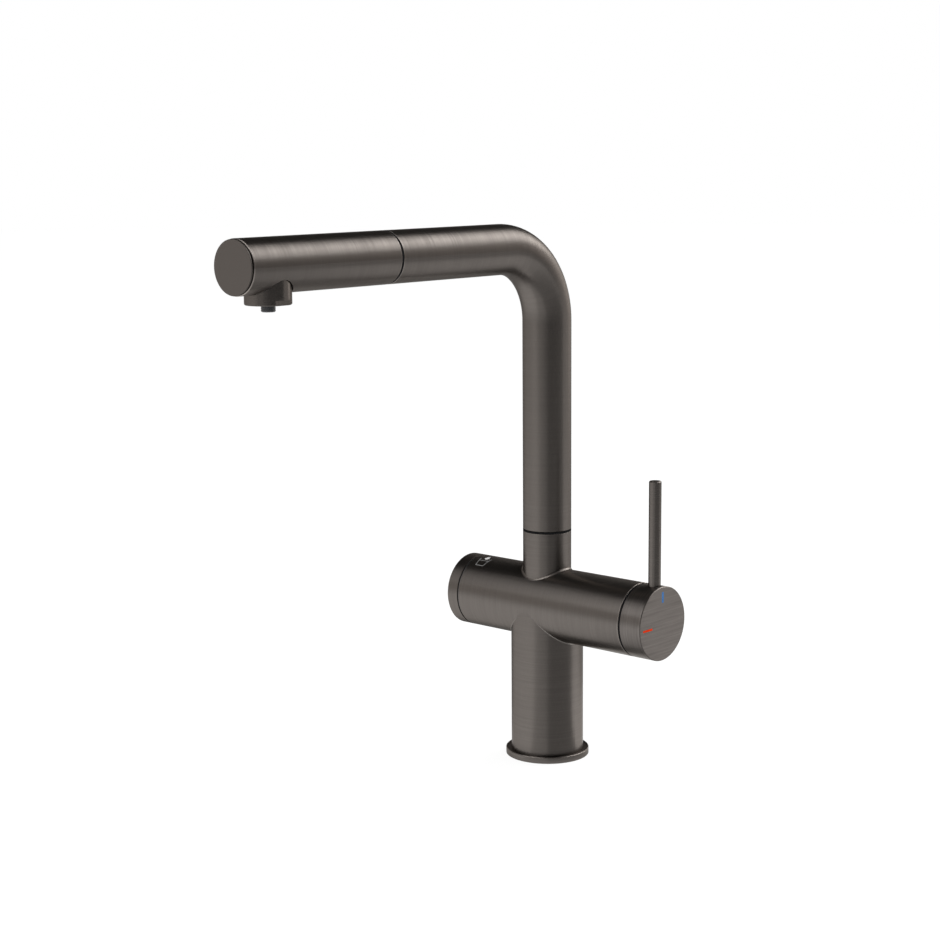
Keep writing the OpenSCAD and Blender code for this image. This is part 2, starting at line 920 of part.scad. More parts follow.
module swivel_o_rings() {
    color([0.06, 0.06, 0.06])
        for (z = o_ring_zs)
            translate([0, 0, z])
                rotate_extrude()
                    translate([socket_r - ring_section + run_fit / 2, 0])
                        circle(r = ring_section, $fn = 32);
}

module wear_ring() {
    inset = 0.45;
    color([0.05, 0.05, 0.07])
        translate([0, 0, neck_top])
            ring(tube_r - inset, socket_r + run_fit, wear_h);
}

// Spout

// Local origin at the bend's centre, so that tube and bend share their end faces exactly
module at_bend() {
    translate([0, -bend_r, bend_z])
        children();
}

// The bend's solid of the given radius, from the upright tube to the level arm
module bend(r) {
    at_bend()
        rotate([90, 0, 90])
            rotate_extrude(angle = 90)
                translate([bend_r, 0])
                    circle(r = r);
}

// Local +Z runs down the upright tube from the bend's foot
module down_from_bend() {
    at_bend()
        translate([0, bend_r, 0])
            rotate([180, 0, 0])
                children();
}

// Local +Z runs along the arm, towards the outlet, from the bend's upper end; local Y is up
module out_from_bend() {
    at_bend()
        translate([0, 0, bend_r])
            rotate([90, 0, 0])
                children();
}

module at_stop_screw(r) {
    translate([0, 0, stop_z])
        rotate([-90, 0, 0])
            translate([0, 0, r])
                children();
}

module spout_tube() {
    color([0.4, 0.38, 0.36])
    difference() {
        union() {
            down_from_bend()
                turned_bar(tube_r, bend_z - spout_foot, top = edge);
            bend(tube_r);
            out_from_bend()
                turned_bar(tube_r, arm_end - bend_r, top = edge);
        }
        down_from_bend()
            cylinder(r = tube_bore, h = bend_z - spout_foot + lap);
        bend(tube_bore);
        out_from_bend()
            cylinder(r = tube_bore, h = arm_end - bend_r + lap);
        at_stop_screw(tube_bore - lap)
            cylinder(r = stop_r + seat_fit, h = tube_wall + 2 * lap);
    }
}

module spout_bearing() {
    foot_gap = 0.2;
    top_gap = 0.8;
    color([0.9, 0.9, 0.88])
        difference() {
            translate([0, 0, spout_foot + foot_gap])
                ring(tube_bore - seat_fit, socket_r + run_fit,
                    socket_top - spout_foot - foot_gap - top_gap);
            at_stop_screw(socket_r - lap)
                cylinder(r = stop_r + seat_fit, h = tube_bore - socket_r + 2 * lap);
        }
}

module stop_screw() {
    tip_r = socket_r - stop_depth + free_gap / 2;
    color([0.3, 0.3, 0.31])
        at_stop_screw(tip_r)
            grub_screw(stop_r, tube_r - stop_sink - tip_r);
}

// The dock's sleeve, with a keyway at the top that keeps the wand upright
module dock_sleeve() {
    color([0.1, 0.1, 0.11])
        to_front(arm_end - dock_l)
            difference() {
                cylinder(r = tube_bore - seat_fit, h = dock_l - free_gap);
                translate([0, 0, -lap])
                    cylinder(r = spigot_r + run_fit, h = dock_l + 2 * lap);
                translate([-key_w / 2 - key_fit, 0, -lap])
                    cube([key_w + 2 * key_fit, spigot_r + key_rise + key_fit, dock_l + 2 * lap]);
            }
}

module hose_in_spout() {
    color([0.2, 0.2, 0.2])
    union() {
        down_from_bend()
            cylinder(r = hose_r, h = bend_z - hose_foot);
        bend(hose_r);
        out_from_bend()
            cylinder(r = hose_r, h = hose_start - bend_r);
    }
}

// Wand

module wand_shell() {
    color([0.4, 0.38, 0.36])
    difference() {
        to_front(wand_rear)
            turned_bar(tube_r, shell_front - wand_rear, foot = edge, top = edge);
        to_front(wand_rear - lap)
            cylinder(r = tube_bore, h = shell_front - wand_rear + 2 * lap);
        to_front(shell_front - end_cap_grip)
            cylinder(r = end_cap_r + seat_fit, h = end_cap_grip + lap);
        at_outlet(arm_z - tube_r - lap)
            cylinder(r = collar_r + collar_gap, h = tube_r);
    }
}

// A plug in the shell's front, with a disc that stands clear of the shell's rim
module wand_end_cap() {
    plug_l = end_cap_grip + disc_proud;
    color([0.33, 0.33, 0.32])
        to_front(shell_front - end_cap_grip)
            union() {
                cylinder(r = end_cap_r, h = end_cap_grip);
                cylinder(r = end_cap_neck_r, h = plug_l - end_disc_bevel);
                translate([0, 0, plug_l - end_disc_t])
                    turned_bar(end_disc_r, end_disc_t, top = end_disc_bevel);
            }
}

module wand_core() {
    core_start = wand_rear + spigot_flange_l;
    way_l = reach - core_start + lap;
    chamber_lap = 2;
    color([0.15, 0.15, 0.16])
    difference() {
        to_front(core_start)
            cylinder(r = core_r, h = core_end - core_start);
        at_outlet(collar_z)
            cylinder(r = collar_r + free_gap, h = collar_h + seat_fit);
        at_outlet(collar_top - lap)
            cylinder(r = chamber_r, h = chamber_h + lap);
        at_outlet(collar_top)
            cylinder(r = stem_r + seat_fit, h = chamber_h + stem_grip);
        at_outlet(collar_top + chamber_h)
            cylinder(r = channel_r, h = arm_z + way_offset - collar_top - chamber_h);
        // The lower way ends in the chamber round the stem, the upper one above the stem
        to_front(core_start - lap)
            translate([0, -way_offset, 0])
                cylinder(r = mixed_way_r, h = way_l - chamber_r + chamber_lap);
        to_front(core_start - lap)
            translate([0, way_offset, 0])
                cylinder(r = filtered_way_r, h = way_l);
    }
}

module wand_spigot() {
    color([0.8, 0.79, 0.76])
    difference() {
        union() {
            to_front(spigot_end)
                turned_bar(spigot_r, spigot_l + wand_gap + lap, foot = spigot_edge);
            to_front(wand_rear + flange_gap)
                cylinder(r = core_r, h = spigot_flange_l - flange_gap);
            to_front(spigot_end + key_back)
                translate([-key_w / 2, 0, 0])
                    cube([key_w, spigot_r + key_rise, spigot_l + wand_gap - key_back + lap]);
        }
        for (side = [-1, 1])
            to_front(spigot_end - lap)
                translate([0, side * way_offset, 0])
                    cylinder(r = channel_r, h = spigot_l + wand_gap + spigot_flange_l + 2 * lap);
        to_front(wand_rear)
            translate([0, -way_offset, 0])
                cylinder(r = check_r + seat_fit, h = spigot_flange_l + lap);
        to_front(spigot_end + spigot_ring_back)
            ring(spigot_r + lap, spigot_r - 2 * ring_section, ring_groove_h);
    }
}

module spigot_o_ring() {
    color([0.06, 0.06, 0.06])
        to_front(spigot_end + spigot_ring_back + ring_groove_h / 2)
            rotate_extrude()
                translate([spigot_r - ring_section + run_fit / 2, 0])
                    circle(r = ring_section, $fn = 32);
}

module check_valve() {
    color([0.2, 0.4, 0.7])
        to_front(wand_rear + seat_fit)
            translate([0, -way_offset, 0])
                ring(check_r, check_bore, spigot_flange_l - 2 * seat_fit);
}

module outlet_collar() {
    color([0.3, 0.29, 0.28])
    difference() {
        at_outlet(collar_z)
            turned_bar(collar_r, collar_h, foot = collar_edge);
        at_outlet(collar_z - lap)
            cylinder(r = aerator_r - aerator_seat_w, h = collar_h + 2 * lap);
        at_outlet(collar_z + aerator_lip)
            cylinder(r = aerator_r + seat_fit, h = collar_h);
        for (side = [-1, 1])
            at_outlet(collar_z - lap)
                translate([side * (flat_w / 2 + collar_r / 2), 0, flat_h / 2 + lap / 2])
                    cube([collar_r, collar_d, flat_h + lap], center = true);
    }
}

// Rows of small holes round the stem, as in a flow straightener, each with more than the last
module aerator_insert() {
    hole_r = 0.7;
    row_count = 3;
    row_step = 1.75;
    first_row_r = stem_r + 1.4;
    first_row_holes = 16;
    row_growth = 6;
    color([0.12, 0.12, 0.13])
    difference() {
        at_outlet(collar_z + aerator_lip)
            cylinder(r = aerator_r, h = aerator_h);
        at_outlet(collar_z)
            cylinder(r = stem_r + seat_fit, h = collar_h);
        for (row = [0 : row_count - 1]) {
            holes = first_row_holes + row_growth * row;
            for (i = [0 : holes - 1])
                at_outlet(collar_z)
                    rotate([0, 0, i * 360 / holes])
                        translate([first_row_r + row * row_step, 0, 0])
                            cylinder(r = hole_r, h = collar_h);
        }
    }
}

module aerator_gasket() {
    gasket_bore = chamber_r - 0.6;
    color([0.55, 0.12, 0.1])
        at_outlet(collar_z + aerator_lip + aerator_h)
            ring(aerator_r, gasket_bore, collar_h - aerator_lip - aerator_h);
}

module filter_stem() {
    stem_bore = 2.3;
    stem_edge = 0.5;
    groove_rise = 1.3;
    groove_step = 1.1;
    groove_w = 0.35;
    groove_depth = 0.25;
    stem_l = collar_top + chamber_h + stem_grip - stem_z;
    color([0.16, 0.16, 0.17])
    difference() {
        at_outlet(stem_z)
            turned_bar(stem_r, stem_l, foot = stem_edge);
        at_outlet(stem_z - lap)
            cylinder(r = stem_bore, h = stem_l + 2 * lap);
        for (i = [0 : 1])
            at_outlet(stem_z + groove_rise + i * groove_step)
                ring(stem_r + lap, stem_r - groove_depth, groove_w);
    }
}

module hose_ferrule() {
    color([0.7, 0.7, 0.71])
        to_front(spigot_end - ferrule_l)
            difference() {
                turned_bar(ferrule_r, ferrule_l, foot = edge);
                translate([0, 0, -lap])
                    cylinder(r = hose_r + seat_fit, h = ferrule_l - ferrule_web + lap);
                for (side = [-1, 1])
                    translate([0, side * hose_way_y, ferrule_l - ferrule_web - lap])
                        cylinder(r = channel_r, h = ferrule_web + 2 * lap);
            }
}

module pull_out_hose() {
    hose_l = spigot_end - ferrule_web - hose_start;
    color([0.25, 0.25, 0.25])
        to_front(hose_start)
            difference() {
                cylinder(r = hose_r, h = hose_l);
                for (side = [-1, 1])
                    translate([0, side * hose_way_y, -lap])
                        cylinder(r = channel_r, h = hose_l + 2 * lap);
            }
}

main_body();
base_ring();
base_seal();
fixing_shank();
under_rubber();
under_washer();
shank_nut();
tension_screws();
mixer_seat_seal();
mixer_cartridge();
mixer_fixed_disc();
mixer_nut();
handle_slip_ring();
filter_seat_seal();
filter_valve_body();
filter_fixed_disc();
filter_nut();
knob_slip_ring();
filter_sign();
swivel_socket();
swivel_o_rings();
wear_ring();
spout_tube();
spout_bearing();
stop_screw();
dock_sleeve();
hose_in_spout();
wand_shell();
wand_end_cap();
wand_core();
wand_spigot();
spigot_o_ring();
check_valve();
outlet_collar();
aerator_insert();
aerator_gasket();
filter_stem();
hose_ferrule();
pull_out_hose();
handle_cap();
lever_pin();
handle_grub_screw();
mixer_spindle();
mixer_moving_disc();
cold_mark();
hot_mark();
filter_knob();
knob_grub_screw();
filter_spindle();
filter_moving_disc();
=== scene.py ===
import math

import bmesh
import bpy
from mathutils import Matrix, Vector


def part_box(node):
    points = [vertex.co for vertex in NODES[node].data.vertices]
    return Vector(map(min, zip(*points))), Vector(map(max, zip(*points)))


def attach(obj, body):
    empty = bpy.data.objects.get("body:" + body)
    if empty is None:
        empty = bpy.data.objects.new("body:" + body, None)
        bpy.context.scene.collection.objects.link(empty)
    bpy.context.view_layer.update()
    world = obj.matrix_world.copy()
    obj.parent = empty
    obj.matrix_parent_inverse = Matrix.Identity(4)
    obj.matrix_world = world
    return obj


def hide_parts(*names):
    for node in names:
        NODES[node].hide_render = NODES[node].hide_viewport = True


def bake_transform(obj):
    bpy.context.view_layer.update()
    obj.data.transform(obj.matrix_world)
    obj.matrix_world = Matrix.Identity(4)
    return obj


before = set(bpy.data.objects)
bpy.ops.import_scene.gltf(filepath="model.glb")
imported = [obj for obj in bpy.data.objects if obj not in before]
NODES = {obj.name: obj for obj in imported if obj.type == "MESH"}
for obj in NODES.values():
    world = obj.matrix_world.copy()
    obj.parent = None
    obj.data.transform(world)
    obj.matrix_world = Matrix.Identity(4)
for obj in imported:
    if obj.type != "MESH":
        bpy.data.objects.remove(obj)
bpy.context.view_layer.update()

# The tap's looks: finishes on the fixed frame's pieces, the fillets of the body, the thread of the
# shank, the hose that draws out of the arm, and a pale studio. Metres, +Z up, the arm towards -Y,
# the lever handle at +X.

# Driving places, taken from the frame
BODY_LOW, BODY_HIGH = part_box("main_body")
CAP_LOW, CAP_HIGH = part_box("handle_cap")
KNOB_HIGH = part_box("filter_knob")[1]
WAND_LOW, WAND_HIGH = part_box("wand_shell")
LEVER_LOW, LEVER_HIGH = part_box("lever_pin")
COLLAR_LOW, COLLAR_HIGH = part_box("outlet_collar")
SPOUT_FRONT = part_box("spout_tube")[0].y
SHANK_LOW, SHANK_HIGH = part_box("fixing_shank")
HOSE_LOW, HOSE_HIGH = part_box("pull_out_hose")
CROSS_Z = (CAP_LOW.z + CAP_HIGH.z) / 2
CROSS_R = (CAP_HIGH.z - CAP_LOW.z) / 2
COLUMN_R = BODY_HIGH.y
TUBE_R = (WAND_HIGH.x - WAND_LOW.x) / 2
ARM_Z = (WAND_LOW.z + WAND_HIGH.z) / 2
OUTLET_Y = (COLLAR_LOW.y + COLLAR_HIGH.y) / 2
LEVER_X = (LEVER_LOW.x + LEVER_HIGH.x) / 2
SIGN_X = sum(corner.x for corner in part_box("filter_sign")) / 2

# The spout's bend, with the radius that it has in the part's source
BEND_R = 0.045
BEND_Y = -BEND_R
BEND_Z = ARM_Z - BEND_R

# The drop on the printed sign
DROP_HALF_W = 0.0022
DROP_FROM_Y = -0.0065

# Sizes of the scene's own pieces
NECK_FILLET = 0.0022
MITRE_FILLET = 0.0012
FILLET_BITE = 0.00004
SHANK_BORE_R = 0.014
THREAD_PITCH = 0.002
THREAD_DEPTH = 0.0009
HOSE_STEP = 0.0008
HOSE_WAY_R = 0.0034

X_AXIS, Y_AXIS, Z_AXIS = Vector((1, 0, 0)), Vector((0, 1, 0)), Vector((0, 0, 1))
AXES = {"X": X_AXIS, "Y": Y_AXIS, "Z": Z_AXIS}

# A face counts as square to an axis where its normal's part along the axis is more than this
SQUARE_ON = 0.9

# Finishes as linear colours
GUNMETAL = (0.152, 0.137, 0.126)
CAP_METAL = (0.161, 0.146, 0.136)
DARKER = (0.143, 0.129, 0.119)
# Painted highlight: a paler gunmetal for the mitre fillets' crease.
HIGHLIGHT_GUNMETAL = (0.230, 0.212, 0.198)
GRAZING = (0.55, 0.54, 0.53)
BRASS = (0.56, 0.40, 0.17)
STEEL = (0.50, 0.50, 0.51)
BLACK = (0.012, 0.012, 0.013)


# Node helpers

def feed(tree, socket, value):
    """Sets an input socket to a value, or links another socket to it."""
    if isinstance(value, bpy.types.NodeSocket):
        tree.links.new(value, socket)
    else:
        socket.default_value = value


def add(tree, kind, inputs=None, **settings):
    """A new node with its settings, its inputs set to a value or linked to a socket."""
    made = tree.nodes.new(kind)
    for name, value in settings.items():
        setattr(made, name, value)
    for key, value in (inputs or {}).items():
        feed(tree, made.inputs[key], value)
    return made


def maths(tree, operation, a, b=0.0):
    return add(tree, "ShaderNodeMath", {0: a, 1: b}, operation=operation).outputs[0]


def vectors(tree, operation, a, b=None):
    """A vector sum, product or the like; a number comes back from DOT_PRODUCT and LENGTH."""
    made = add(tree, "ShaderNodeVectorMath", {0: a}, operation=operation)
    if b is not None:
        feed(tree, made.inputs["Scale" if operation == "SCALE" else 1], b)
    return made.outputs["Value" if operation in ("DOT_PRODUCT", "LENGTH") else "Vector"]


def spread(tree, value, low, high, new_low, new_high):
    """The value's stretch from low to high, laid out from new_low to new_high."""
    made = add(tree, "ShaderNodeMapRange", {"Value": value, "From Min": low, "From Max": high,
                                            "To Min": new_low, "To Max": new_high})
    return made.outputs["Result"]


def tinted(tree, colour, level):
    """The colour, made lighter or darker by level."""
    return vectors(tree, "SCALE", colour, level)


def mixed(tree, share, a, b):
    made = add(tree, "ShaderNodeMix", {"Factor": share, 6: a, 7: b}, data_type="RGBA")
    return made.outputs[2]


def rgba(colour):
    return (*colour, 1.0)


def placed_group(tree, group, **values):
    """The group's outputs in this tree, with its inputs set to a value or linked to a socket."""
    made = tree.nodes.new("ShaderNodeGroup")
    made.node_tree = group
    for name, value in values.items():
        feed(tree, made.inputs[name], value)
    return made.outputs


def new_group(name, inputs, outputs):
    """An empty shader node group; inputs hold a socket type and its first value."""
    group = bpy.data.node_groups.new(name, "ShaderNodeTree")
    for label, (kind, value) in inputs.items():
        socket = group.interface.new_socket(label, in_out="INPUT", socket_type=kind)
        socket.default_value = value
    for label, kind in outputs.items():
        group.interface.new_socket(label, in_out="OUTPUT", socket_type=kind)
    start = group.nodes.new("NodeGroupInput")
    end = group.nodes.new("NodeGroupOutput")
    return group, start.outputs, end.inputs


FLOAT, VECTOR = "NodeSocketFloat", "NodeSocketVector"


# Shared effects

def brush_grain_group():
    """Brushing lines. Place runs across the lines in x, and slowly along them in y and z."""
    group, given, out = new_group(
        "brush_grain",
        {"Place": (VECTOR, (0, 0, 0)), "Fine": (FLOAT, 3000.0), "Broad": (FLOAT, 1100.0),
         "Length": (FLOAT, 22.0)},
        {"Grain": FLOAT, "Bands": FLOAT})
    for label, density, detail in (("Grain", "Fine", 2.0), ("Bands", "Broad", 3.0)):
        scale = add(group, "ShaderNodeCombineXYZ",
                    {"X": given[density], "Y": given["Length"], "Z": given["Length"]})
        place = vectors(group, "MULTIPLY", given["Place"], scale.outputs[0])
        noise = add(group, "ShaderNodeTexNoise",
                    {"Vector": place, "Scale": 1.0, "Detail": detail, "Roughness": 0.65})
        group.links.new(noise.outputs["Fac"], out[label])
    return group


def turned_edge_group():
    """A mask of the chamfers on a turned piece: where the surface leans between side and end."""
    none, full = 0.12, 0.24
    group, given, out = new_group(
        "turned_edge", {"Normal": (VECTOR, (0, 0, 1)), "Axis": (VECTOR, (0, 0, 1))},
        {"Mask": FLOAT})
    lean = vectors(group, "DOT_PRODUCT", given["Normal"], given["Axis"])
    square = maths(group, "MULTIPLY", lean, lean)
    product = maths(group, "MULTIPLY", square, maths(group, "SUBTRACT", 1.0, square))
    group.links.new(spread(group, product, none, full, 0.0, 1.0), out["Mask"])
    return group


def round_place_group():
    """Where a point lies on a turned piece, across and along its lines, and the way across them."""
    half_way = 0.7
    group, given, out = new_group(
        "round_place",
        {"Point": (VECTOR, (0, 0, 0)), "Normal": (VECTOR, (0, 0, 1)),
         "Centre": (VECTOR, (0, 0, 0)), "Axis": (VECTOR, (0, 0, 1))},
        {"Place": VECTOR, "Across": VECTOR})
    offset = vectors(group, "SUBTRACT", given["Point"], given["Centre"])
    depth = vectors(group, "DOT_PRODUCT", offset, given["Axis"])
    flat = vectors(group, "SUBTRACT", offset, vectors(group, "SCALE", given["Axis"], depth))
    radius = vectors(group, "LENGTH", flat)
    lean = maths(group, "ABSOLUTE", vectors(group, "DOT_PRODUCT", given["Normal"], given["Axis"]))
    on_end = maths(group, "GREATER_THAN", lean, half_way)
    on_side = maths(group, "SUBTRACT", 1.0, on_end)
    outward = vectors(group, "SCALE", vectors(group, "NORMALIZE", flat), on_end)
    across = vectors(group, "ADD", vectors(group, "SCALE", given["Axis"], on_side), outward)
    parts = add(group, "ShaderNodeSeparateXYZ", {0: flat}).outputs
    slow = maths(group, "ADD", parts["X"], parts["Z"])
    place = add(group, "ShaderNodeCombineXYZ",
                {"X": maths(group, "ADD", depth, radius), "Y": slow,
                 "Z": maths(group, "SUBTRACT", parts["Y"], parts["Z"])})
    group.links.new(place.outputs[0], out["Place"])
    group.links.new(across, out["Across"])
    return group


def moulded_grain_group():
    """The fine skin of a moulded or cast piece, and the slow blotches under it."""
    group, given, out = new_group(
        "moulded_grain",
        {"Point": (VECTOR, (0, 0, 0)), "Fine": (FLOAT, 2400.0), "Slow": (FLOAT, 90.0)},
        {"Skin": FLOAT, "Blotch": FLOAT})
    for label, density, detail in (("Skin", "Fine", 2.0), ("Blotch", "Slow", 4.0)):
        noise = add(group, "ShaderNodeTexNoise",
                    {"Vector": given["Point"], "Scale": given[density], "Detail": detail,
                     "Roughness": 0.55})
        group.links.new(noise.outputs["Fac"], out[label])
    return group


def braid_group():
    """Crossed strands round a hose, and the one in eight that is the paler tracer."""
    strands_to_tracer = 8.0
    group, given, out = new_group(
        "braid", {"Round": (FLOAT, 0.0), "Along": (FLOAT, 0.0)}, {"Height": FLOAT, "Tracer": FLOAT})
    strands = []
    for operation in ("ADD", "SUBTRACT"):
        phase = maths(group, operation, given["Round"], given["Along"])
        wave = maths(group, "SINE", maths(group, "MULTIPLY", phase, math.pi))
        strands.append(maths(group, "ABSOLUTE", wave))
        if operation == "ADD":
            pair = maths(group, "FLOORED_MODULO", phase, strands_to_tracer)
            tracer = maths(group, "LESS_THAN", pair, 1.0)
    group.links.new(maths(group, "MULTIPLY", strands[0], strands[1]), out["Height"])
    group.links.new(tracer, out["Tracer"])
    return group


GRAIN = brush_grain_group()
EDGE = turned_edge_group()
ROUND = round_place_group()
SKIN = moulded_grain_group()
BRAID = braid_group()


# Materials

def new_material(name):
    material = bpy.data.materials.new(name)
    material.use_nodes = True
    tree = material.node_tree
    return material, tree, tree.nodes["Principled BSDF"]


def bend_lines(tree, point):
    """Lines round a tube that runs up, round the bend and out along the arm."""
    parts = add(tree, "ShaderNodeSeparateXYZ", {0: point}).outputs
    right = maths(tree, "MAXIMUM", maths(tree, "SUBTRACT", parts["Y"], BEND_Y), 0.0)
    over = maths(tree, "MAXIMUM", maths(tree, "SUBTRACT", parts["Z"], BEND_Z), 0.0)
    up = maths(tree, "MINIMUM", maths(tree, "SUBTRACT", parts["Z"], BEND_Z), 0.0)
    out = maths(tree, "MAXIMUM", maths(tree, "SUBTRACT", BEND_Y, parts["Y"]), 0.0)
    turn = maths(tree, "MULTIPLY", maths(tree, "ARCTAN2", over, right), BEND_R)
    along = maths(tree, "ADD", maths(tree, "ADD", up, turn), out)
    back = maths(tree, "MULTIPLY", over, -1.0)
    across = add(tree, "ShaderNodeCombineXYZ", {"Y": back, "Z": right}).outputs[0]
    across = vectors(tree, "NORMALIZE", across)
    place = add(tree, "ShaderNodeCombineXYZ",
                {"X": along, "Y": maths(tree, "ADD", parts["X"], parts["Z"]),
                 "Z": maths(tree, "SUBTRACT", parts["Y"], parts["Z"])}).outputs[0]
    return place, across, across


def body_lines(tree, point):
    """Lines round the cross tube on its own surface, else round the column and the neck."""
    near_surface = 0.0002
    beside_column = COLUMN_R * 1.1
    parts = add(tree, "ShaderNodeSeparateXYZ", {0: point}).outputs
    height = maths(tree, "SUBTRACT", parts["Z"], CROSS_Z)
    square = maths(tree, "ADD", maths(tree, "MULTIPLY", height, height),
                   maths(tree, "MULTIPLY", parts["Y"], parts["Y"]))
    off = maths(tree, "SUBTRACT", maths(tree, "SQRT", square), CROSS_R)
    on_cross = maths(tree, "LESS_THAN", maths(tree, "ABSOLUTE", off), near_surface)
    past_column = maths(tree, "GREATER_THAN", maths(tree, "ABSOLUTE", parts["X"]), beside_column)
    on_cross = maths(tree, "MAXIMUM", on_cross, past_column)
    off_cross = maths(tree, "SUBTRACT", 1.0, on_cross)
    along = maths(tree, "ADD", maths(tree, "MULTIPLY", parts["X"], on_cross),
                  maths(tree, "MULTIPLY", parts["Z"], off_cross))
    across = add(tree, "ShaderNodeCombineXYZ", {"X": on_cross, "Z": off_cross}).outputs[0]
    place = add(tree, "ShaderNodeCombineXYZ",
                {"X": along, "Y": maths(tree, "ADD", parts["X"], parts["Z"]),
                 "Z": maths(tree, "SUBTRACT", parts["Y"], parts["Z"])}).outputs[0]
    return place, across, across


def cap_lines(tree, point, normal):
    """Lines round the cross axis on the skirt, and level lines over the end face."""
    parts = add(tree, "ShaderNodeSeparateXYZ", {0: point}).outputs
    lean = maths(tree, "ABSOLUTE", vectors(tree, "DOT_PRODUCT", normal, X_AXIS))
    on_face = maths(tree, "GREATER_THAN", lean, SQUARE_ON)
    on_skirt = maths(tree, "SUBTRACT", 1.0, on_face)
    along = maths(tree, "ADD", maths(tree, "MULTIPLY", parts["X"], on_skirt),
                  maths(tree, "MULTIPLY", parts["Z"], on_face))
    across = add(tree, "ShaderNodeCombineXYZ", {"X": on_skirt, "Z": on_face}).outputs[0]
    slow = maths(tree, "ADD", parts["Y"], maths(tree, "MULTIPLY", parts["Z"], on_skirt))
    place = add(tree, "ShaderNodeCombineXYZ", {"X": along, "Y": slow, "Z": parts["X"]}).outputs[0]
    axis = add(tree, "ShaderNodeCombineXYZ", {"X": 1.0}).outputs[0]
    return place, across, axis


def turned_lines(tree, point, normal, axis, centre):
    """Lines round an axis X, Y or Z through a centre, on the sides and on the ends."""
    got = placed_group(tree, ROUND, Point=point, Normal=normal, Centre=centre, Axis=AXES[axis])
    line = add(tree, "ShaderNodeCombineXYZ", {axis: 1.0}).outputs[0]
    return got["Place"], got["Across"], line


def end_faces(tree, normal, axis):
    """1 on the flat ends of a tube."""
    lean = maths(tree, "ABSOLUTE", vectors(tree, "DOT_PRODUCT", normal, axis))
    return maths(tree, "GREATER_THAN", lean, SQUARE_ON)


def inner_faces(tree, point, normal):
    """1 on the flat ends that look towards the column, along X."""
    along = add(tree, "ShaderNodeSeparateXYZ", {0: point}).outputs["X"]
    lean = vectors(tree, "DOT_PRODUCT", normal, X_AXIS)
    outward = maths(tree, "MULTIPLY", lean, maths(tree, "SIGN", along))
    return maths(tree, "LESS_THAN", outward, -SQUARE_ON)


def rim_lines(tree, point, rims):
    """1 on the narrow lines beside the places along X or Y where a piece ends, which get a painted
    highlight.
    """
    line_w = 0.0006
    parts = add(tree, "ShaderNodeSeparateXYZ", {0: point}).outputs
    mask = 0.0
    for axis, place in rims:
        off = maths(tree, "ABSOLUTE", maths(tree, "SUBTRACT", parts[axis], place))
        mask = maths(tree, "MAXIMUM", maths(tree, "LESS_THAN", off, line_w), mask)
    return mask


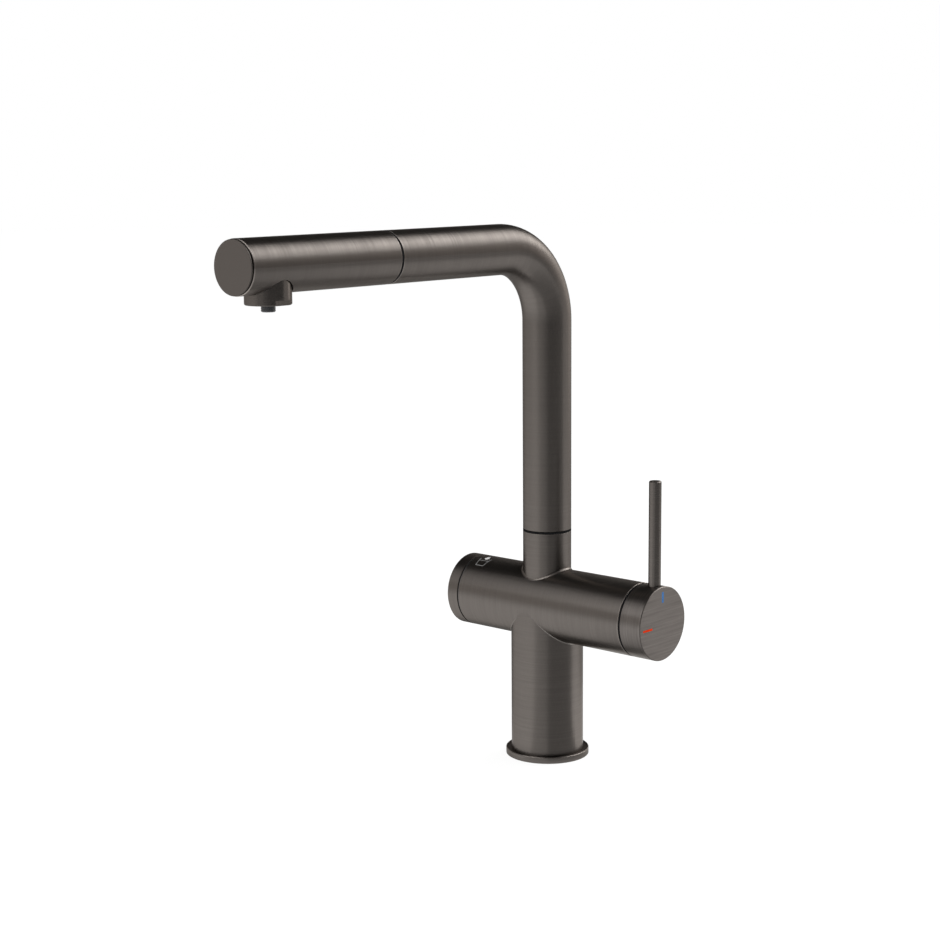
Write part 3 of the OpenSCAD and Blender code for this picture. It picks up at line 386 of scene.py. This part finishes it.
def lined_metal(name, colour, lay, roughness=0.36, anisotropic=0.6, streak=0.05, worn=0.35,
                rim_rough=0.12, gap="none", fine=3000.0, broad=1100.0, relief=0.2,
                rough_streak=0.045, rims=(), lit_top_streak=0.0):
    """Brushed or turned metal. lay gives the lines' place, the way across them and the axis. gap
    says which faces stand in a narrow gap and get painted shade, a darker colour: none, ends,
    inner. The chamfer amount paints a highlight on the chamfers above 0 and shade below 0. rims
    are the places with a painted highlight line beside them. The top streak amount is added to
    the streaks on the upper side, as painted highlight streaks."""
    fine_share, broad_share = 0.45, 0.55
    low, high = 0.36, 0.64
    side_up, top_up = 0.25, 0.6
    rim_highlight_gain, gap_shade_level, line_depth = 1.8, 0.12, 0.00001
    material, tree, shader = new_material(name)
    seen = add(tree, "ShaderNodeTexCoord").outputs
    place, across, axis = lay(tree, seen)
    lines = placed_group(tree, GRAIN, Place=place, Fine=fine, Broad=broad)
    both = maths(tree, "ADD", maths(tree, "MULTIPLY", lines["Grain"], fine_share),
                 maths(tree, "MULTIPLY", lines["Bands"], broad_share))
    # Painted highlight streaks: the streaks grow stronger on the upward-facing side, where the
    # highlight falls.
    height = add(tree, "ShaderNodeSeparateXYZ", {0: seen["Normal"]}).outputs["Z"]
    depth = spread(tree, height, side_up, top_up, streak, streak + lit_top_streak)
    wave = spread(tree, both, low, high, -1.0, 1.0)
    level = maths(tree, "ADD", 1.0, maths(tree, "MULTIPLY", wave, depth))
    # Painted highlight and shade on the chamfers: their colour is lightened where the chamfer
    # amount is above 0 and darkened below 0.
    rim = placed_group(tree, EDGE, Normal=seen["Normal"], Axis=axis)["Mask"]
    chamfer_light_amount = maths(tree, "MULTIPLY", rim, spread(tree, lines["Bands"], 0.3, 0.7, worn * 0.6, worn))
    level = maths(tree, "MULTIPLY", level, maths(tree, "ADD", 1.0, chamfer_light_amount))
    # Painted highlight: the colour is lighter on narrow lines beside where pieces end.
    if rims:
        bright = spread(tree, rim_lines(tree, seen["Object"], rims), 0.0, 1.0, 1.0, rim_highlight_gain)
        level = maths(tree, "MULTIPLY", level, bright)
    # Painted shade: faces that stand in a narrow gap get a much darker colour.
    if gap != "none":
        if gap == "ends":
            hidden = end_faces(tree, seen["Normal"], axis)
        else:
            hidden = inner_faces(tree, seen["Object"], seen["Normal"])
        level = maths(tree, "MULTIPLY", level, spread(tree, hidden, 0.0, 1.0, 1.0, gap_shade_level))
    tree.links.new(tinted(tree, colour, level), shader.inputs["Base Color"])
    rough = spread(tree, both, low, high, roughness + rough_streak, roughness - rough_streak)
    rough = maths(tree, "ADD", rough, maths(tree, "MULTIPLY", rim, rim_rough))
    tree.links.new(rough, shader.inputs["Roughness"])
    bump = add(tree, "ShaderNodeBump",
               {"Height": lines["Grain"], "Strength": relief, "Distance": line_depth})
    tree.links.new(bump.outputs["Normal"], shader.inputs["Normal"])
    if anisotropic:
        world = add(tree, "ShaderNodeVectorTransform", {"Vector": across}, vector_type="VECTOR",
                    convert_from="OBJECT", convert_to="WORLD")
        tree.links.new(world.outputs[0], shader.inputs["Tangent"])
        shader.inputs["Anisotropic"].default_value = anisotropic
    shader.inputs["Metallic"].default_value = 1.0
    shader.inputs["Specular Tint"].default_value = rgba(GRAZING)
    return material


def round_metal(name, colour, axis, centre, **finish):
    """Metal turned or brushed round an axis X, Y or Z through centre."""
    def lay(tree, seen):
        return turned_lines(tree, seen["Object"], seen["Normal"], axis, centre)
    return lined_metal(name, colour, lay, **finish)


def moulded(name, colour, roughness, blotch=0.08, skin=0.25, specular=0.5, coat=0.0):
    """A moulded, cast, fired or enamelled piece: one colour with a fine skin and slow blotches."""
    rough_play, skin_depth = 0.05, 0.00003
    material, tree, shader = new_material(name)
    point = add(tree, "ShaderNodeTexCoord").outputs["Object"]
    grain = placed_group(tree, SKIN, Point=point)
    level = spread(tree, grain["Blotch"], 0.35, 0.65, 1.0 - blotch, 1.0 + blotch)
    tree.links.new(tinted(tree, colour, level), shader.inputs["Base Color"])
    rough = spread(tree, grain["Blotch"], 0.3, 0.7, roughness - rough_play, roughness + rough_play)
    tree.links.new(rough, shader.inputs["Roughness"])
    bump = add(tree, "ShaderNodeBump",
               {"Height": grain["Skin"], "Strength": skin, "Distance": skin_depth})
    tree.links.new(bump.outputs["Normal"], shader.inputs["Normal"])
    shader.inputs["Specular IOR Level"].default_value = specular
    shader.inputs["Coat Weight"].default_value = coat
    return material


def braided_nylon(name):
    """Dark nylon strands crossed round the hose, with a few paler tracer strands."""
    strands_round, strand_pitch, strand_depth = 24, 0.0042, 0.0003
    strand_colour, tracer_colour = (0.035, 0.035, 0.037), (0.20, 0.20, 0.21)
    material, tree, shader = new_material(name)
    point = add(tree, "ShaderNodeTexCoord").outputs["Object"]
    parts = add(tree, "ShaderNodeSeparateXYZ", {0: point}).outputs
    height = maths(tree, "SUBTRACT", parts["Z"], ARM_Z)
    angle = maths(tree, "ARCTAN2", parts["X"], height)
    turn = maths(tree, "MULTIPLY", angle, strands_round / (2 * math.pi))
    along = maths(tree, "MULTIPLY", parts["Y"], 1 / strand_pitch)
    strands = placed_group(tree, BRAID, Round=turn, Along=along)
    level = spread(tree, strands["Height"], 0.0, 0.8, 0.25, 1.15)
    dark = tinted(tree, strand_colour, level)
    pale = tinted(tree, tracer_colour, level)
    tree.links.new(mixed(tree, strands["Tracer"], dark, pale), shader.inputs["Base Color"])
    bump = add(tree, "ShaderNodeBump",
               {"Height": strands["Height"], "Strength": 0.8, "Distance": strand_depth})
    tree.links.new(bump.outputs["Normal"], shader.inputs["Normal"])
    shader.inputs["Roughness"].default_value = 0.5
    return material


def printed_sign(name, line_colour, drop_colour):
    """Grey print: thin lines for the glass, and a fuller, paler drop in its mouth."""
    material, tree, shader = new_material(name)
    point = add(tree, "ShaderNodeTexCoord").outputs["Object"]
    parts = add(tree, "ShaderNodeSeparateXYZ", {0: point}).outputs
    off = maths(tree, "ABSOLUTE", maths(tree, "SUBTRACT", parts["X"], SIGN_X))
    in_middle = maths(tree, "LESS_THAN", off, DROP_HALF_W)
    past_level = maths(tree, "GREATER_THAN", parts["Y"], DROP_FROM_Y)
    on_drop = maths(tree, "MULTIPLY", in_middle, past_level)
    skin = placed_group(tree, SKIN, Point=point)
    colour = mixed(tree, on_drop, rgba(line_colour), rgba(drop_colour))
    level = spread(tree, skin["Blotch"], 0.35, 0.65, 0.9, 1.1)
    tree.links.new(tinted(tree, colour, level), shader.inputs["Base Color"])
    shader.inputs["Roughness"].default_value = 0.6
    shader.inputs["Specular IOR Level"].default_value = 0.2
    return material


ON_COLUMN = (0, 0, 0)
ON_CROSS = (0, 0, CROSS_Z)
ON_ARM = (0, 0, ARM_Z)
ON_OUTLET = (0, OUTLET_Y, 0)
ON_LEVER = (LEVER_X, 0, 0)
SATIN = {"streak": 0.05, "roughness": 0.29, "anisotropic": 0.35}
TURNED = {"streak": 0.12, "roughness": 0.25, "anisotropic": 0.5, "fine": 5000.0, "broad": 1500.0}

# Painted light in these finishes: the chamfer amount paints highlight on chamfers, or shade below
# 0;
# gap paints shade on faces in narrow gaps, and rims paint highlight lines beside joints;
# the top streak paints stronger streaks where the upper side's highlight falls.
brushed_body = lined_metal("brushed_body", GUNMETAL, lambda t, s: body_lines(t, s["Object"]),
                           worn=0.5, rim_rough=0.2, gap="ends", rims=[("X", BODY_HIGH.x)])
brushed_arm = lined_metal("brushed_arm", GUNMETAL, lambda t, s: bend_lines(t, s["Object"]),
                          streak=0.03, lit_top_streak=0.15, rough_streak=0.05, broad=800.0, worn=0.2,
                          rim_rough=0.0, gap="ends",
                          rims=[("Y", WAND_LOW.y), ("Y", WAND_HIGH.y), ("Y", SPOUT_FRONT)])
brushed_cap = lined_metal("brushed_cap", CAP_METAL,
                          lambda t, s: cap_lines(t, s["Object"], s["Normal"]),
                          streak=0.17, broad=900.0, fine=4000.0, worn=0.05, rim_rough=0.05,
                          gap="inner")
brushed_knob = lined_metal("brushed_knob", GUNMETAL,
                           lambda t, s: cap_lines(t, s["Object"], s["Normal"]),
                           worn=-0.7, rim_rough=0.3, gap="inner")
brushed_base = round_metal("brushed_base", DARKER, "Z", ON_COLUMN, streak=0.1, worn=0.7,
                           rim_rough=0.1)
satin_lever = round_metal("satin_lever", DARKER, "Z", ON_LEVER, **SATIN)
satin_collar = round_metal("satin_collar", DARKER, "Z", ON_OUTLET, worn=-0.4, streak=0.05,
                           roughness=0.23, anisotropic=0.2)
satin_tip = round_metal("satin_tip", DARKER, "Y", ON_ARM, streak=0.015, roughness=0.4,
                        anisotropic=0.0, relief=0.05, worn=-0.5, rough_streak=0.01)
satin_fillet = round_metal("satin_fillet", GUNMETAL, "Z", ON_COLUMN, streak=0.04,
                           roughness=0.3, anisotropic=0.0)
# Painted highlight along the mitre fillets, from the paler colour.
crease_highlight = round_metal("crease_highlight", HIGHLIGHT_GUNMETAL, "Z", ON_COLUMN, streak=0.04, roughness=0.3,
                           anisotropic=0.0)
steel_across = round_metal("steel_on_cross", STEEL, "X", ON_CROSS, **TURNED)
steel_on_arm = round_metal("steel_on_arm", STEEL, "Y", ON_ARM, **TURNED)
steel_upright = round_metal("steel_upright", STEEL, "Z", ON_COLUMN, **TURNED)
brass_on_cross = round_metal("brass_on_cross", BRASS, "X", ON_CROSS, **TURNED)
brass_upright = round_metal("brass_upright", BRASS, "Z", ON_COLUMN, **TURNED)
black_plastic = moulded("black_plastic", BLACK, 0.42)
grey_plastic = moulded("grey_plastic", (0.030, 0.032, 0.034), 0.38)
white_plastic = moulded("white_plastic", (0.70, 0.70, 0.66), 0.3, blotch=0.04)
blue_plastic = moulded("blue_plastic", (0.033, 0.13, 0.45), 0.3, blotch=0.05)
black_rubber = moulded("black_rubber", (0.014, 0.014, 0.014), 0.75, blotch=0.2, skin=0.5,
                       specular=0.25)
# Painted shadow: a near-black fill for the narrow gaps of the joints.
gap_shadow_black = moulded("gap_shadow_black", (0.004, 0.004, 0.0045), 0.8, blotch=0.2, skin=0.5, specular=0.08)
valve_ceramic = moulded("valve_ceramic", (0.82, 0.80, 0.74), 0.14, blotch=0.03, skin=0.05,
                        coat=0.3)
sign_print = printed_sign("sign_print", (0.14, 0.138, 0.136), (0.42, 0.415, 0.41))
blue_enamel = moulded("blue_enamel", (0.011, 0.092, 0.260), 0.45, blotch=0.08, specular=0.2)
red_enamel = moulded("red_enamel", (0.440, 0.026, 0.004), 0.5, blotch=0.08, specular=0.0)
hose_braid = braided_nylon("hose_braid")

FINISH = {
    "main_body": brushed_body,
    "spout_tube": brushed_arm,
    "wand_shell": brushed_arm,
    "handle_cap": brushed_cap,
    "filter_knob": brushed_knob,
    "base_ring": brushed_base,
    "lever_pin": satin_lever,
    "outlet_collar": satin_collar,
    "wand_end_cap": satin_tip,
    "filter_sign": sign_print,
    "cold_mark": blue_enamel,
    "hot_mark": red_enamel,
    "hose_in_spout": hose_braid,
    "pull_out_hose": hose_braid,
    "check_valve": blue_plastic,
    "filter_stem": grey_plastic,
}
groups = (
    (steel_upright, "under_washer tension_screws stop_screw"),
    (steel_across, "handle_grub_screw knob_grub_screw"),
    (steel_on_arm, "wand_spigot hose_ferrule"),
    (brass_upright, "fixing_shank shank_nut swivel_socket"),
    (brass_on_cross, "mixer_nut filter_valve_body filter_nut mixer_spindle filter_spindle"),
    (black_plastic, "handle_slip_ring knob_slip_ring wear_ring dock_sleeve wand_core "
                    "aerator_insert"),
    (white_plastic, "mixer_cartridge spout_bearing"),
    (black_rubber, "base_seal under_rubber mixer_seat_seal filter_seat_seal swivel_o_rings "
                   "spigot_o_ring aerator_gasket"),
    (valve_ceramic, "mixer_fixed_disc mixer_moving_disc filter_fixed_disc filter_moving_disc"),
)
for material, names in groups:
    for name in names.split():
        FINISH[name] = material

for name, node in NODES.items():
    node.data.materials.clear()
    node.data.materials.append(FINISH[name])


# Pieces of the scene's own

def new_piece(name, points, faces, material, body=None):
    """A mesh piece in the shared frame, with its normals outwards."""
    mesh = bpy.data.meshes.new(name)
    mesh.from_pydata(points, [], faces)
    bm = bmesh.new()
    bm.from_mesh(mesh)
    bmesh.ops.remove_doubles(bm, verts=bm.verts, dist=1e-7)
    bmesh.ops.recalc_face_normals(bm, faces=bm.faces)
    bm.to_mesh(mesh)
    bm.free()
    mesh.materials.append(material)
    mesh.polygons.foreach_set("use_smooth", [True] * len(mesh.polygons))
    mesh.set_sharp_from_angle(angle=math.radians(40))
    piece = bpy.data.objects.new(name, mesh)
    bpy.context.scene.collection.objects.link(piece)
    if body:
        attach(piece, body)
    return piece


def swept_faces(rings, size, closed):
    """Quads between successive rings of size points each; open rows get caps on both ends."""
    faces = []
    for i in range(rings if closed else rings - 1):
        a, b = i * size, (i + 1) % rings * size
        for j in range(size):
            k = (j + 1) % size
            faces.append((a + j, a + k, b + k, b + j))
    if not closed:
        faces.append(tuple(range(size)))
        faces.append(tuple((rings - 1) * size + j for j in range(size)))
    return faces


def fillet_section(angle, upright_r, level_r, ball_r, side):
    """One closed section of the fillet between an upright and a level tube, at an angle round the
    upright one. side is 1 over the level tube and -1 under it."""
    sink, steps = 0.0004, 10
    out = Vector((math.cos(angle), math.sin(angle), 0))
    ball = out * (upright_r + ball_r - FILLET_BITE)
    lift = level_r + ball_r - FILLET_BITE
    rise = math.sqrt(max(lift ** 2 - ball.y ** 2, 0.0))
    centre = Vector((ball.x, ball.y, CROSS_Z + side * rise))
    away = Vector((0, ball.y, side * rise)) / lift
    turn = out.angle(away)
    section = []
    for i in range(steps + 1):
        t = i / steps
        if turn < 0.01:
            way = out
        else:
            way = (out * math.sin((1 - t) * turn) + away * math.sin(t * turn)) / math.sin(turn)
        section.append(centre - way * ball_r)
    corner = out * (upright_r - sink)
    height = math.sqrt(max(level_r ** 2 - corner.y ** 2, 0.0))
    section.append(centre - away * (ball_r + sink))
    section.append(Vector((corner.x, corner.y, CROSS_Z + side * (height - sink))))
    section.append(centre - out * (ball_r + sink))
    return section


def fillet_strip(name, upright_r, ball_r, side, first, last, steps, material):
    """A strip of fillet round the upright tube, from a first to a last angle in degrees."""
    closed = last - first >= 360
    count = steps if closed else steps + 1
    points = []
    for i in range(count):
        angle = math.radians(first + (last - first) * i / steps)
        points += fillet_section(angle, upright_r, CROSS_R, ball_r, side)
    piece = new_piece(name, points, swept_faces(count, len(points) // count, closed),
                      material, "tap_body")
    return piece


def fillets():
    fillet_strip("neck_fillet", TUBE_R, NECK_FILLET, 1, 0, 360, 144, satin_fillet)
    short_of_front = 6
    for name, first in (("mitre_fillet_handle_side", -90), ("mitre_fillet_knob_side", 90)):
        fillet_strip(name, COLUMN_R, MITRE_FILLET, -1, first + short_of_front,
                     first + 180 - short_of_front, 96, crease_highlight)


def turned_piece(name, profile, axis, centre, material, body):
    """A piece turned round an axis from a closed profile of radius and place along the axis."""
    around = 128
    first, second = (other for key, other in AXES.items() if key != axis)
    points = []
    for i in range(around):
        angle = 2 * math.pi * i / around
        out = first * math.cos(angle) + second * math.sin(angle)
        points += [Vector(centre) + out * radius + AXES[axis] * place for radius, place in profile]
    return new_piece(name, points, swept_faces(around, len(profile), True), material, body)


def gap_shadow_rings():
    """Dark rings that fill the narrow gaps of the tap's joints as painted shadow, seen as its dark
    lines.
    """
    root, shoulder, play = 0.0014, 0.0004, 0.0001
    places = [("wear_ring_gap_shadow", "Z", ON_COLUMN, TUBE_R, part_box("wear_ring")[0].z,
               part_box("wear_ring")[1].z, 0.00015, 0.00015, gap_shadow_black, "tap_body"),
              ("dock_gap_shadow", "Y", ON_ARM, TUBE_R - play, WAND_HIGH.y + play,
               SPOUT_FRONT, 0.00012, 0.0002, gap_shadow_black, "spout"),
              ("knob_ring_gap_shadow", "X", ON_CROSS, CROSS_R - 0.0005, KNOB_HIGH.x + play,
               BODY_LOW.x, 0.0, 0.0, grey_plastic, "tap_body"),
              ("handle_ring_gap_shadow", "X", ON_CROSS, CROSS_R - 0.0002, BODY_HIGH.x,
               CAP_LOW.x - play, 0.0001, 0.00005, gap_shadow_black, "tap_body")]
    for name, axis, centre, outside, low, high, flare_low, flare_high, material, body in places:
        inside = outside - shoulder
        profile = [(outside - root, low), (inside, low), (outside, low - flare_low),
                   (outside, high + flare_high), (inside, high), (outside - root, high)]
        shadow_fill = turned_piece(name, profile, axis, centre, material, body)


def threaded_shank():
    """The brass shank with its thread cut as a real groove."""
    outer = (SHANK_HIGH.x - SHANK_LOW.x) / 2
    around, per_turn = 60, 6
    step = THREAD_PITCH / per_turn
    rows = round((SHANK_HIGH.z - SHANK_LOW.z) / step)
    run_out = 2 * THREAD_PITCH
    plain_from = 0.004
    flank, crest = 1.4, 0.2
    points = []
    for i in range(rows + 1):
        z = SHANK_LOW.z + (SHANK_HIGH.z - SHANK_LOW.z) * i / rows
        end = min(z - SHANK_LOW.z, SHANK_HIGH.z - z)
        lead_in = max(0.0, 1 - end / (THREAD_PITCH / 2))
        for j in range(around):
            turn = j / around
            groove = abs((z / THREAD_PITCH - turn) % 1 * 2 - 1)
            depth = THREAD_DEPTH * min(max(groove * flank - crest, 0), 1)
            if end > run_out and z > plain_from:
                depth = 0
            depth = max(depth, THREAD_DEPTH * lead_in)
            angle = 2 * math.pi * turn
            points.append(((outer - depth) * math.cos(angle), (outer - depth) * math.sin(angle), z))
    rings = rows + 1
    for z in (SHANK_HIGH.z, SHANK_LOW.z):
        for j in range(around):
            angle = 2 * math.pi * j / around
            points.append((SHANK_BORE_R * math.cos(angle), SHANK_BORE_R * math.sin(angle), z))
    faces = swept_faces(rings + 2, around, True)
    shank = new_piece("threaded_shank", points, faces, brass_upright, "tap_body")
    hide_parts("fixing_shank")


def drawn_hose():
    """The braided hose in the arm."""
    hose_r = (HOSE_HIGH.x - HOSE_LOW.x) / 2
    around = 32
    rings = round((HOSE_HIGH.y - HOSE_LOW.y) / HOSE_STEP)
    outer, inner = [], []
    for i in range(rings + 1):
        y = HOSE_LOW.y + (HOSE_HIGH.y - HOSE_LOW.y) * i / rings
        for j in range(around):
            angle = 2 * math.pi * j / around
            outer.append((hose_r * math.sin(angle), y, ARM_Z + hose_r * math.cos(angle)))
    for i in (rings, 0):
        y = HOSE_LOW.y + (HOSE_HIGH.y - HOSE_LOW.y) * i / rings
        for j in range(around):
            angle = 2 * math.pi * j / around
            inner.append((HOSE_WAY_R * math.sin(angle), y, ARM_Z + HOSE_WAY_R * math.cos(angle)))
    hose = new_piece("braided_hose", outer + inner, swept_faces(rings + 3, around, True),
                     hose_braid)
    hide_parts("pull_out_hose")
    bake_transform(hose)


fillets()
gap_shadow_rings()
threaded_shank()
drawn_hose()


# Studio

def toward(azimuth, elevation):
    """A direction: azimuth 0 lies along -Y and grows towards +X, elevation grows upwards."""
    a, e = math.radians(azimuth), math.radians(elevation)
    return Vector((math.sin(a) * math.cos(e), -math.cos(a) * math.cos(e), math.sin(e)))


STUDIO_MIDDLE = Vector((0, -0.1, 0.2))
WARM_WALL = (1.03, 0.98, 0.94)
WHITE = (1, 1, 1)


def stage_mesh(mesh, material):
    """The mesh as an object of the studio, with its material."""
    mesh.materials.append(material)
    made = bpy.data.objects.new(mesh.name, mesh)
    bpy.context.scene.collection.objects.link(made)
    return made


def reflector(name, points, faces, level, colour):
    """A glowing card that shows in the metal's reflections only, not to the lens."""
    mesh = bpy.data.meshes.new(name)
    mesh.from_pydata(points, [], faces)
    material, tree, _ = new_material(name)
    glow = add(tree, "ShaderNodeEmission", {"Color": rgba(colour), "Strength": level})
    tree.links.new(glow.outputs[0], tree.nodes["Material Output"].inputs["Surface"])
    card = stage_mesh(mesh, material)
    card.visible_camera = False
    card.visible_diffuse = False
    card.visible_shadow = False


def studio_panel(name, azimuths, elevations, distance, level):
    """A curved card round the studio's middle, with a vertex about every 6 degrees."""
    span = 6
    across = max(2, round((azimuths[1] - azimuths[0]) / span))
    up = max(2, round((elevations[1] - elevations[0]) / span))
    points, faces = [], []
    for i in range(across + 1):
        for j in range(up + 1):
            azimuth = azimuths[0] + (azimuths[1] - azimuths[0]) * i / across
            elevation = elevations[0] + (elevations[1] - elevations[0]) * j / up
            points.append(STUDIO_MIDDLE + toward(azimuth, elevation) * distance)
    for i in range(across):
        for j in range(up):
            a = i * (up + 1) + j
            faces.append((a, a + 1, a + up + 2, a + up + 1))
    reflector(name, points, faces, level, WARM_WALL)


def floor_card(name, azimuths, radii, level):
    """A flat card just over the floor, round the tap's foot."""
    height, steps = 0.0005, 24
    points = []
    for radius in radii:
        for i in range(steps + 1):
            azimuth = azimuths[0] + (azimuths[1] - azimuths[0]) * i / steps
            points.append(toward(azimuth, 0) * radius + Z_AXIS * height)
    faces = [(i, i + 1, steps + 2 + i, steps + 1 + i) for i in range(steps)]
    reflector(name, points, faces, level, WHITE)


def white_for_lens(tree):
    """1 on rays that come from the lens, off gloss or through glass."""
    path = add(tree, "ShaderNodeLightPath").outputs
    seen = maths(tree, "MAXIMUM", path["Is Camera Ray"], path["Is Glossy Ray"])
    return maths(tree, "MAXIMUM", seen, path["Is Transmission Ray"])


def pale_world():
    """A white world: strength 1 where it is seen, and a little more as light on matt surfaces."""
    matt_level = 1.05
    world = bpy.data.worlds.new("pale_studio")
    bpy.context.scene.world = world
    world.use_nodes = True
    tree = world.node_tree
    strength = spread(tree, white_for_lens(tree), 0.0, 1.0, matt_level, 1.0)
    tree.links.new(strength, tree.nodes["Background"].inputs["Strength"])
    tree.nodes["Background"].inputs["Color"].default_value = rgba(WHITE)


def pale_floor():
    """A white floor that keeps the soft shadow of the tap."""
    floor_white, glow_share = (0.97, 0.97, 0.97), 0.85
    mesh = bpy.data.meshes.new("floor")
    bm = bmesh.new()
    bmesh.ops.create_circle(bm, cap_ends=True, radius=8.0, segments=64)
    bm.to_mesh(mesh)
    bm.free()
    material, tree, shader = new_material("pale_floor")
    shader.inputs["Base Color"].default_value = rgba(floor_white)
    shader.inputs["Roughness"].default_value = 0.9
    shader.inputs["Specular IOR Level"].default_value = 0.0
    glow = add(tree, "ShaderNodeEmission", {"Strength": 1.0})
    share = maths(tree, "MULTIPLY", white_for_lens(tree), glow_share)
    both = add(tree, "ShaderNodeMixShader", {0: share, 1: shader.outputs[0], 2: glow.outputs[0]})
    tree.links.new(both.outputs[0], tree.nodes["Material Output"].inputs["Surface"])
    stage_mesh(mesh, material)


def softbox(name, azimuth, elevation, distance, size, level):
    """A rectangular lamp whose face glows at level, turned to the tap."""
    light = bpy.data.lights.new(name, "AREA")
    light.shape = "RECTANGLE"
    light.size, light.size_y = size
    light.energy = level * math.pi * size[0] * size[1]
    lamp = bpy.data.objects.new(name, light)
    bpy.context.scene.collection.objects.link(lamp)
    away = toward(azimuth, elevation)
    lamp.location = STUDIO_MIDDLE + away * distance
    lamp.rotation_euler = away.to_track_quat("Z", "Y").to_euler()
    lamp.visible_camera = False


def camera():
    """The photograph's view, for a square picture."""
    data = bpy.data.cameras.new("photo_view")
    data.sensor_width = 36.0
    data.lens = 75.57
    lens = bpy.data.objects.new("photo_view", data)
    bpy.context.scene.collection.objects.link(lens)
    place = Vector((0.768249, -0.926649, 0.380319))
    heading, pitch, roll = math.radians(41.9274), math.radians(9.4175), math.radians(0.4395)
    turn = (Matrix.Rotation(heading, 4, "Z") @ Matrix.Rotation(math.pi / 2 - pitch, 4, "X")
            @ Matrix.Rotation(-roll, 4, "Z"))
    lens.matrix_world = Matrix.Translation(place) @ turn
    bpy.context.scene.camera = lens


bpy.context.scene.view_settings.view_transform = "Standard"
pale_world()
pale_floor()

# Cards for the metal's reflections: azimuths, then elevations and distance or radii, then glow
WALL = (-4, 25)
NEAR, FAR = 2.4, 2.6
FOOT, FLOOR_END = 0.16, 2.3
studio_panel("dark_ceiling", (-180, 180), (25, 90), FAR, 0.03)
studio_panel("grey_wall", (-180, 180), WALL, FAR, 0.52)
studio_panel("dark_wall_left_high", (-130, -20), (19, 25), NEAR, 0.03)
studio_panel("pale_wall_left", (-130, -20), (-4, 14), NEAR, 0.62)
studio_panel("dark_wall_right", (24, 126), WALL, NEAR, 0.02)
studio_panel("dim_wall_front", (-6, 24), WALL, NEAR, 0.28)
studio_panel("bright_wall_behind", (132, 196), (8, 22), NEAR, 0.9)
studio_panel("bright_wall_behind_low", (160, 196), (-4, 8), NEAR, 1.5)
studio_panel("dim_wall_behind", (200, 230), WALL, NEAR, 0.2)
floor_card("floor_card_right", (40, 122), (FOOT, FLOOR_END), 0.42)
floor_card("floor_card_right_at_base", (40, 118), (0.03, FOOT), 0.42)
floor_card("floor_card_front", (0, 40), (0.03, FLOOR_END), 0.75)
floor_card("floor_card_left", (-97, 0), (0.03, 0.7), 1.2)
floor_card("floor_card_left_edge", (-150, -97), (0.03, FLOOR_END), 0.5)
floor_card("floor_card_far_left", (-97, 0), (0.7, FLOOR_END), 0.9)
floor_card("floor_card_at_base", (118, 210), (0.03, FOOT), 1.6)
floor_card("floor_card_near_behind_right", (125, 158), (FOOT, 0.42), 1.3)
floor_card("floor_card_mid_behind_right", (122, 158), (0.42, 0.7), 1.24)
floor_card("floor_card_behind_right", (125, 158), (0.7, 1.0), 1.12)
floor_card("floor_card_far_behind_right", (125, 158), (1.0, FLOOR_END), 0.45)
floor_card("floor_card_behind_edge", (158, 190), (FOOT, FLOOR_END), 0.85)
floor_card("floor_card_behind", (190, 210), (0.35, FLOOR_END), 0.4)
softbox("softbox_front", -14, 41.5, 2.0, (1.6, 1.5), 2.3)
softbox("softbox_behind", 144, 45, 2.0, (2.0, 1.3), 2.0)
softbox("softbox_behind_low", 170, 31, 1.8, (0.85, 0.9), 3.7)
camera()
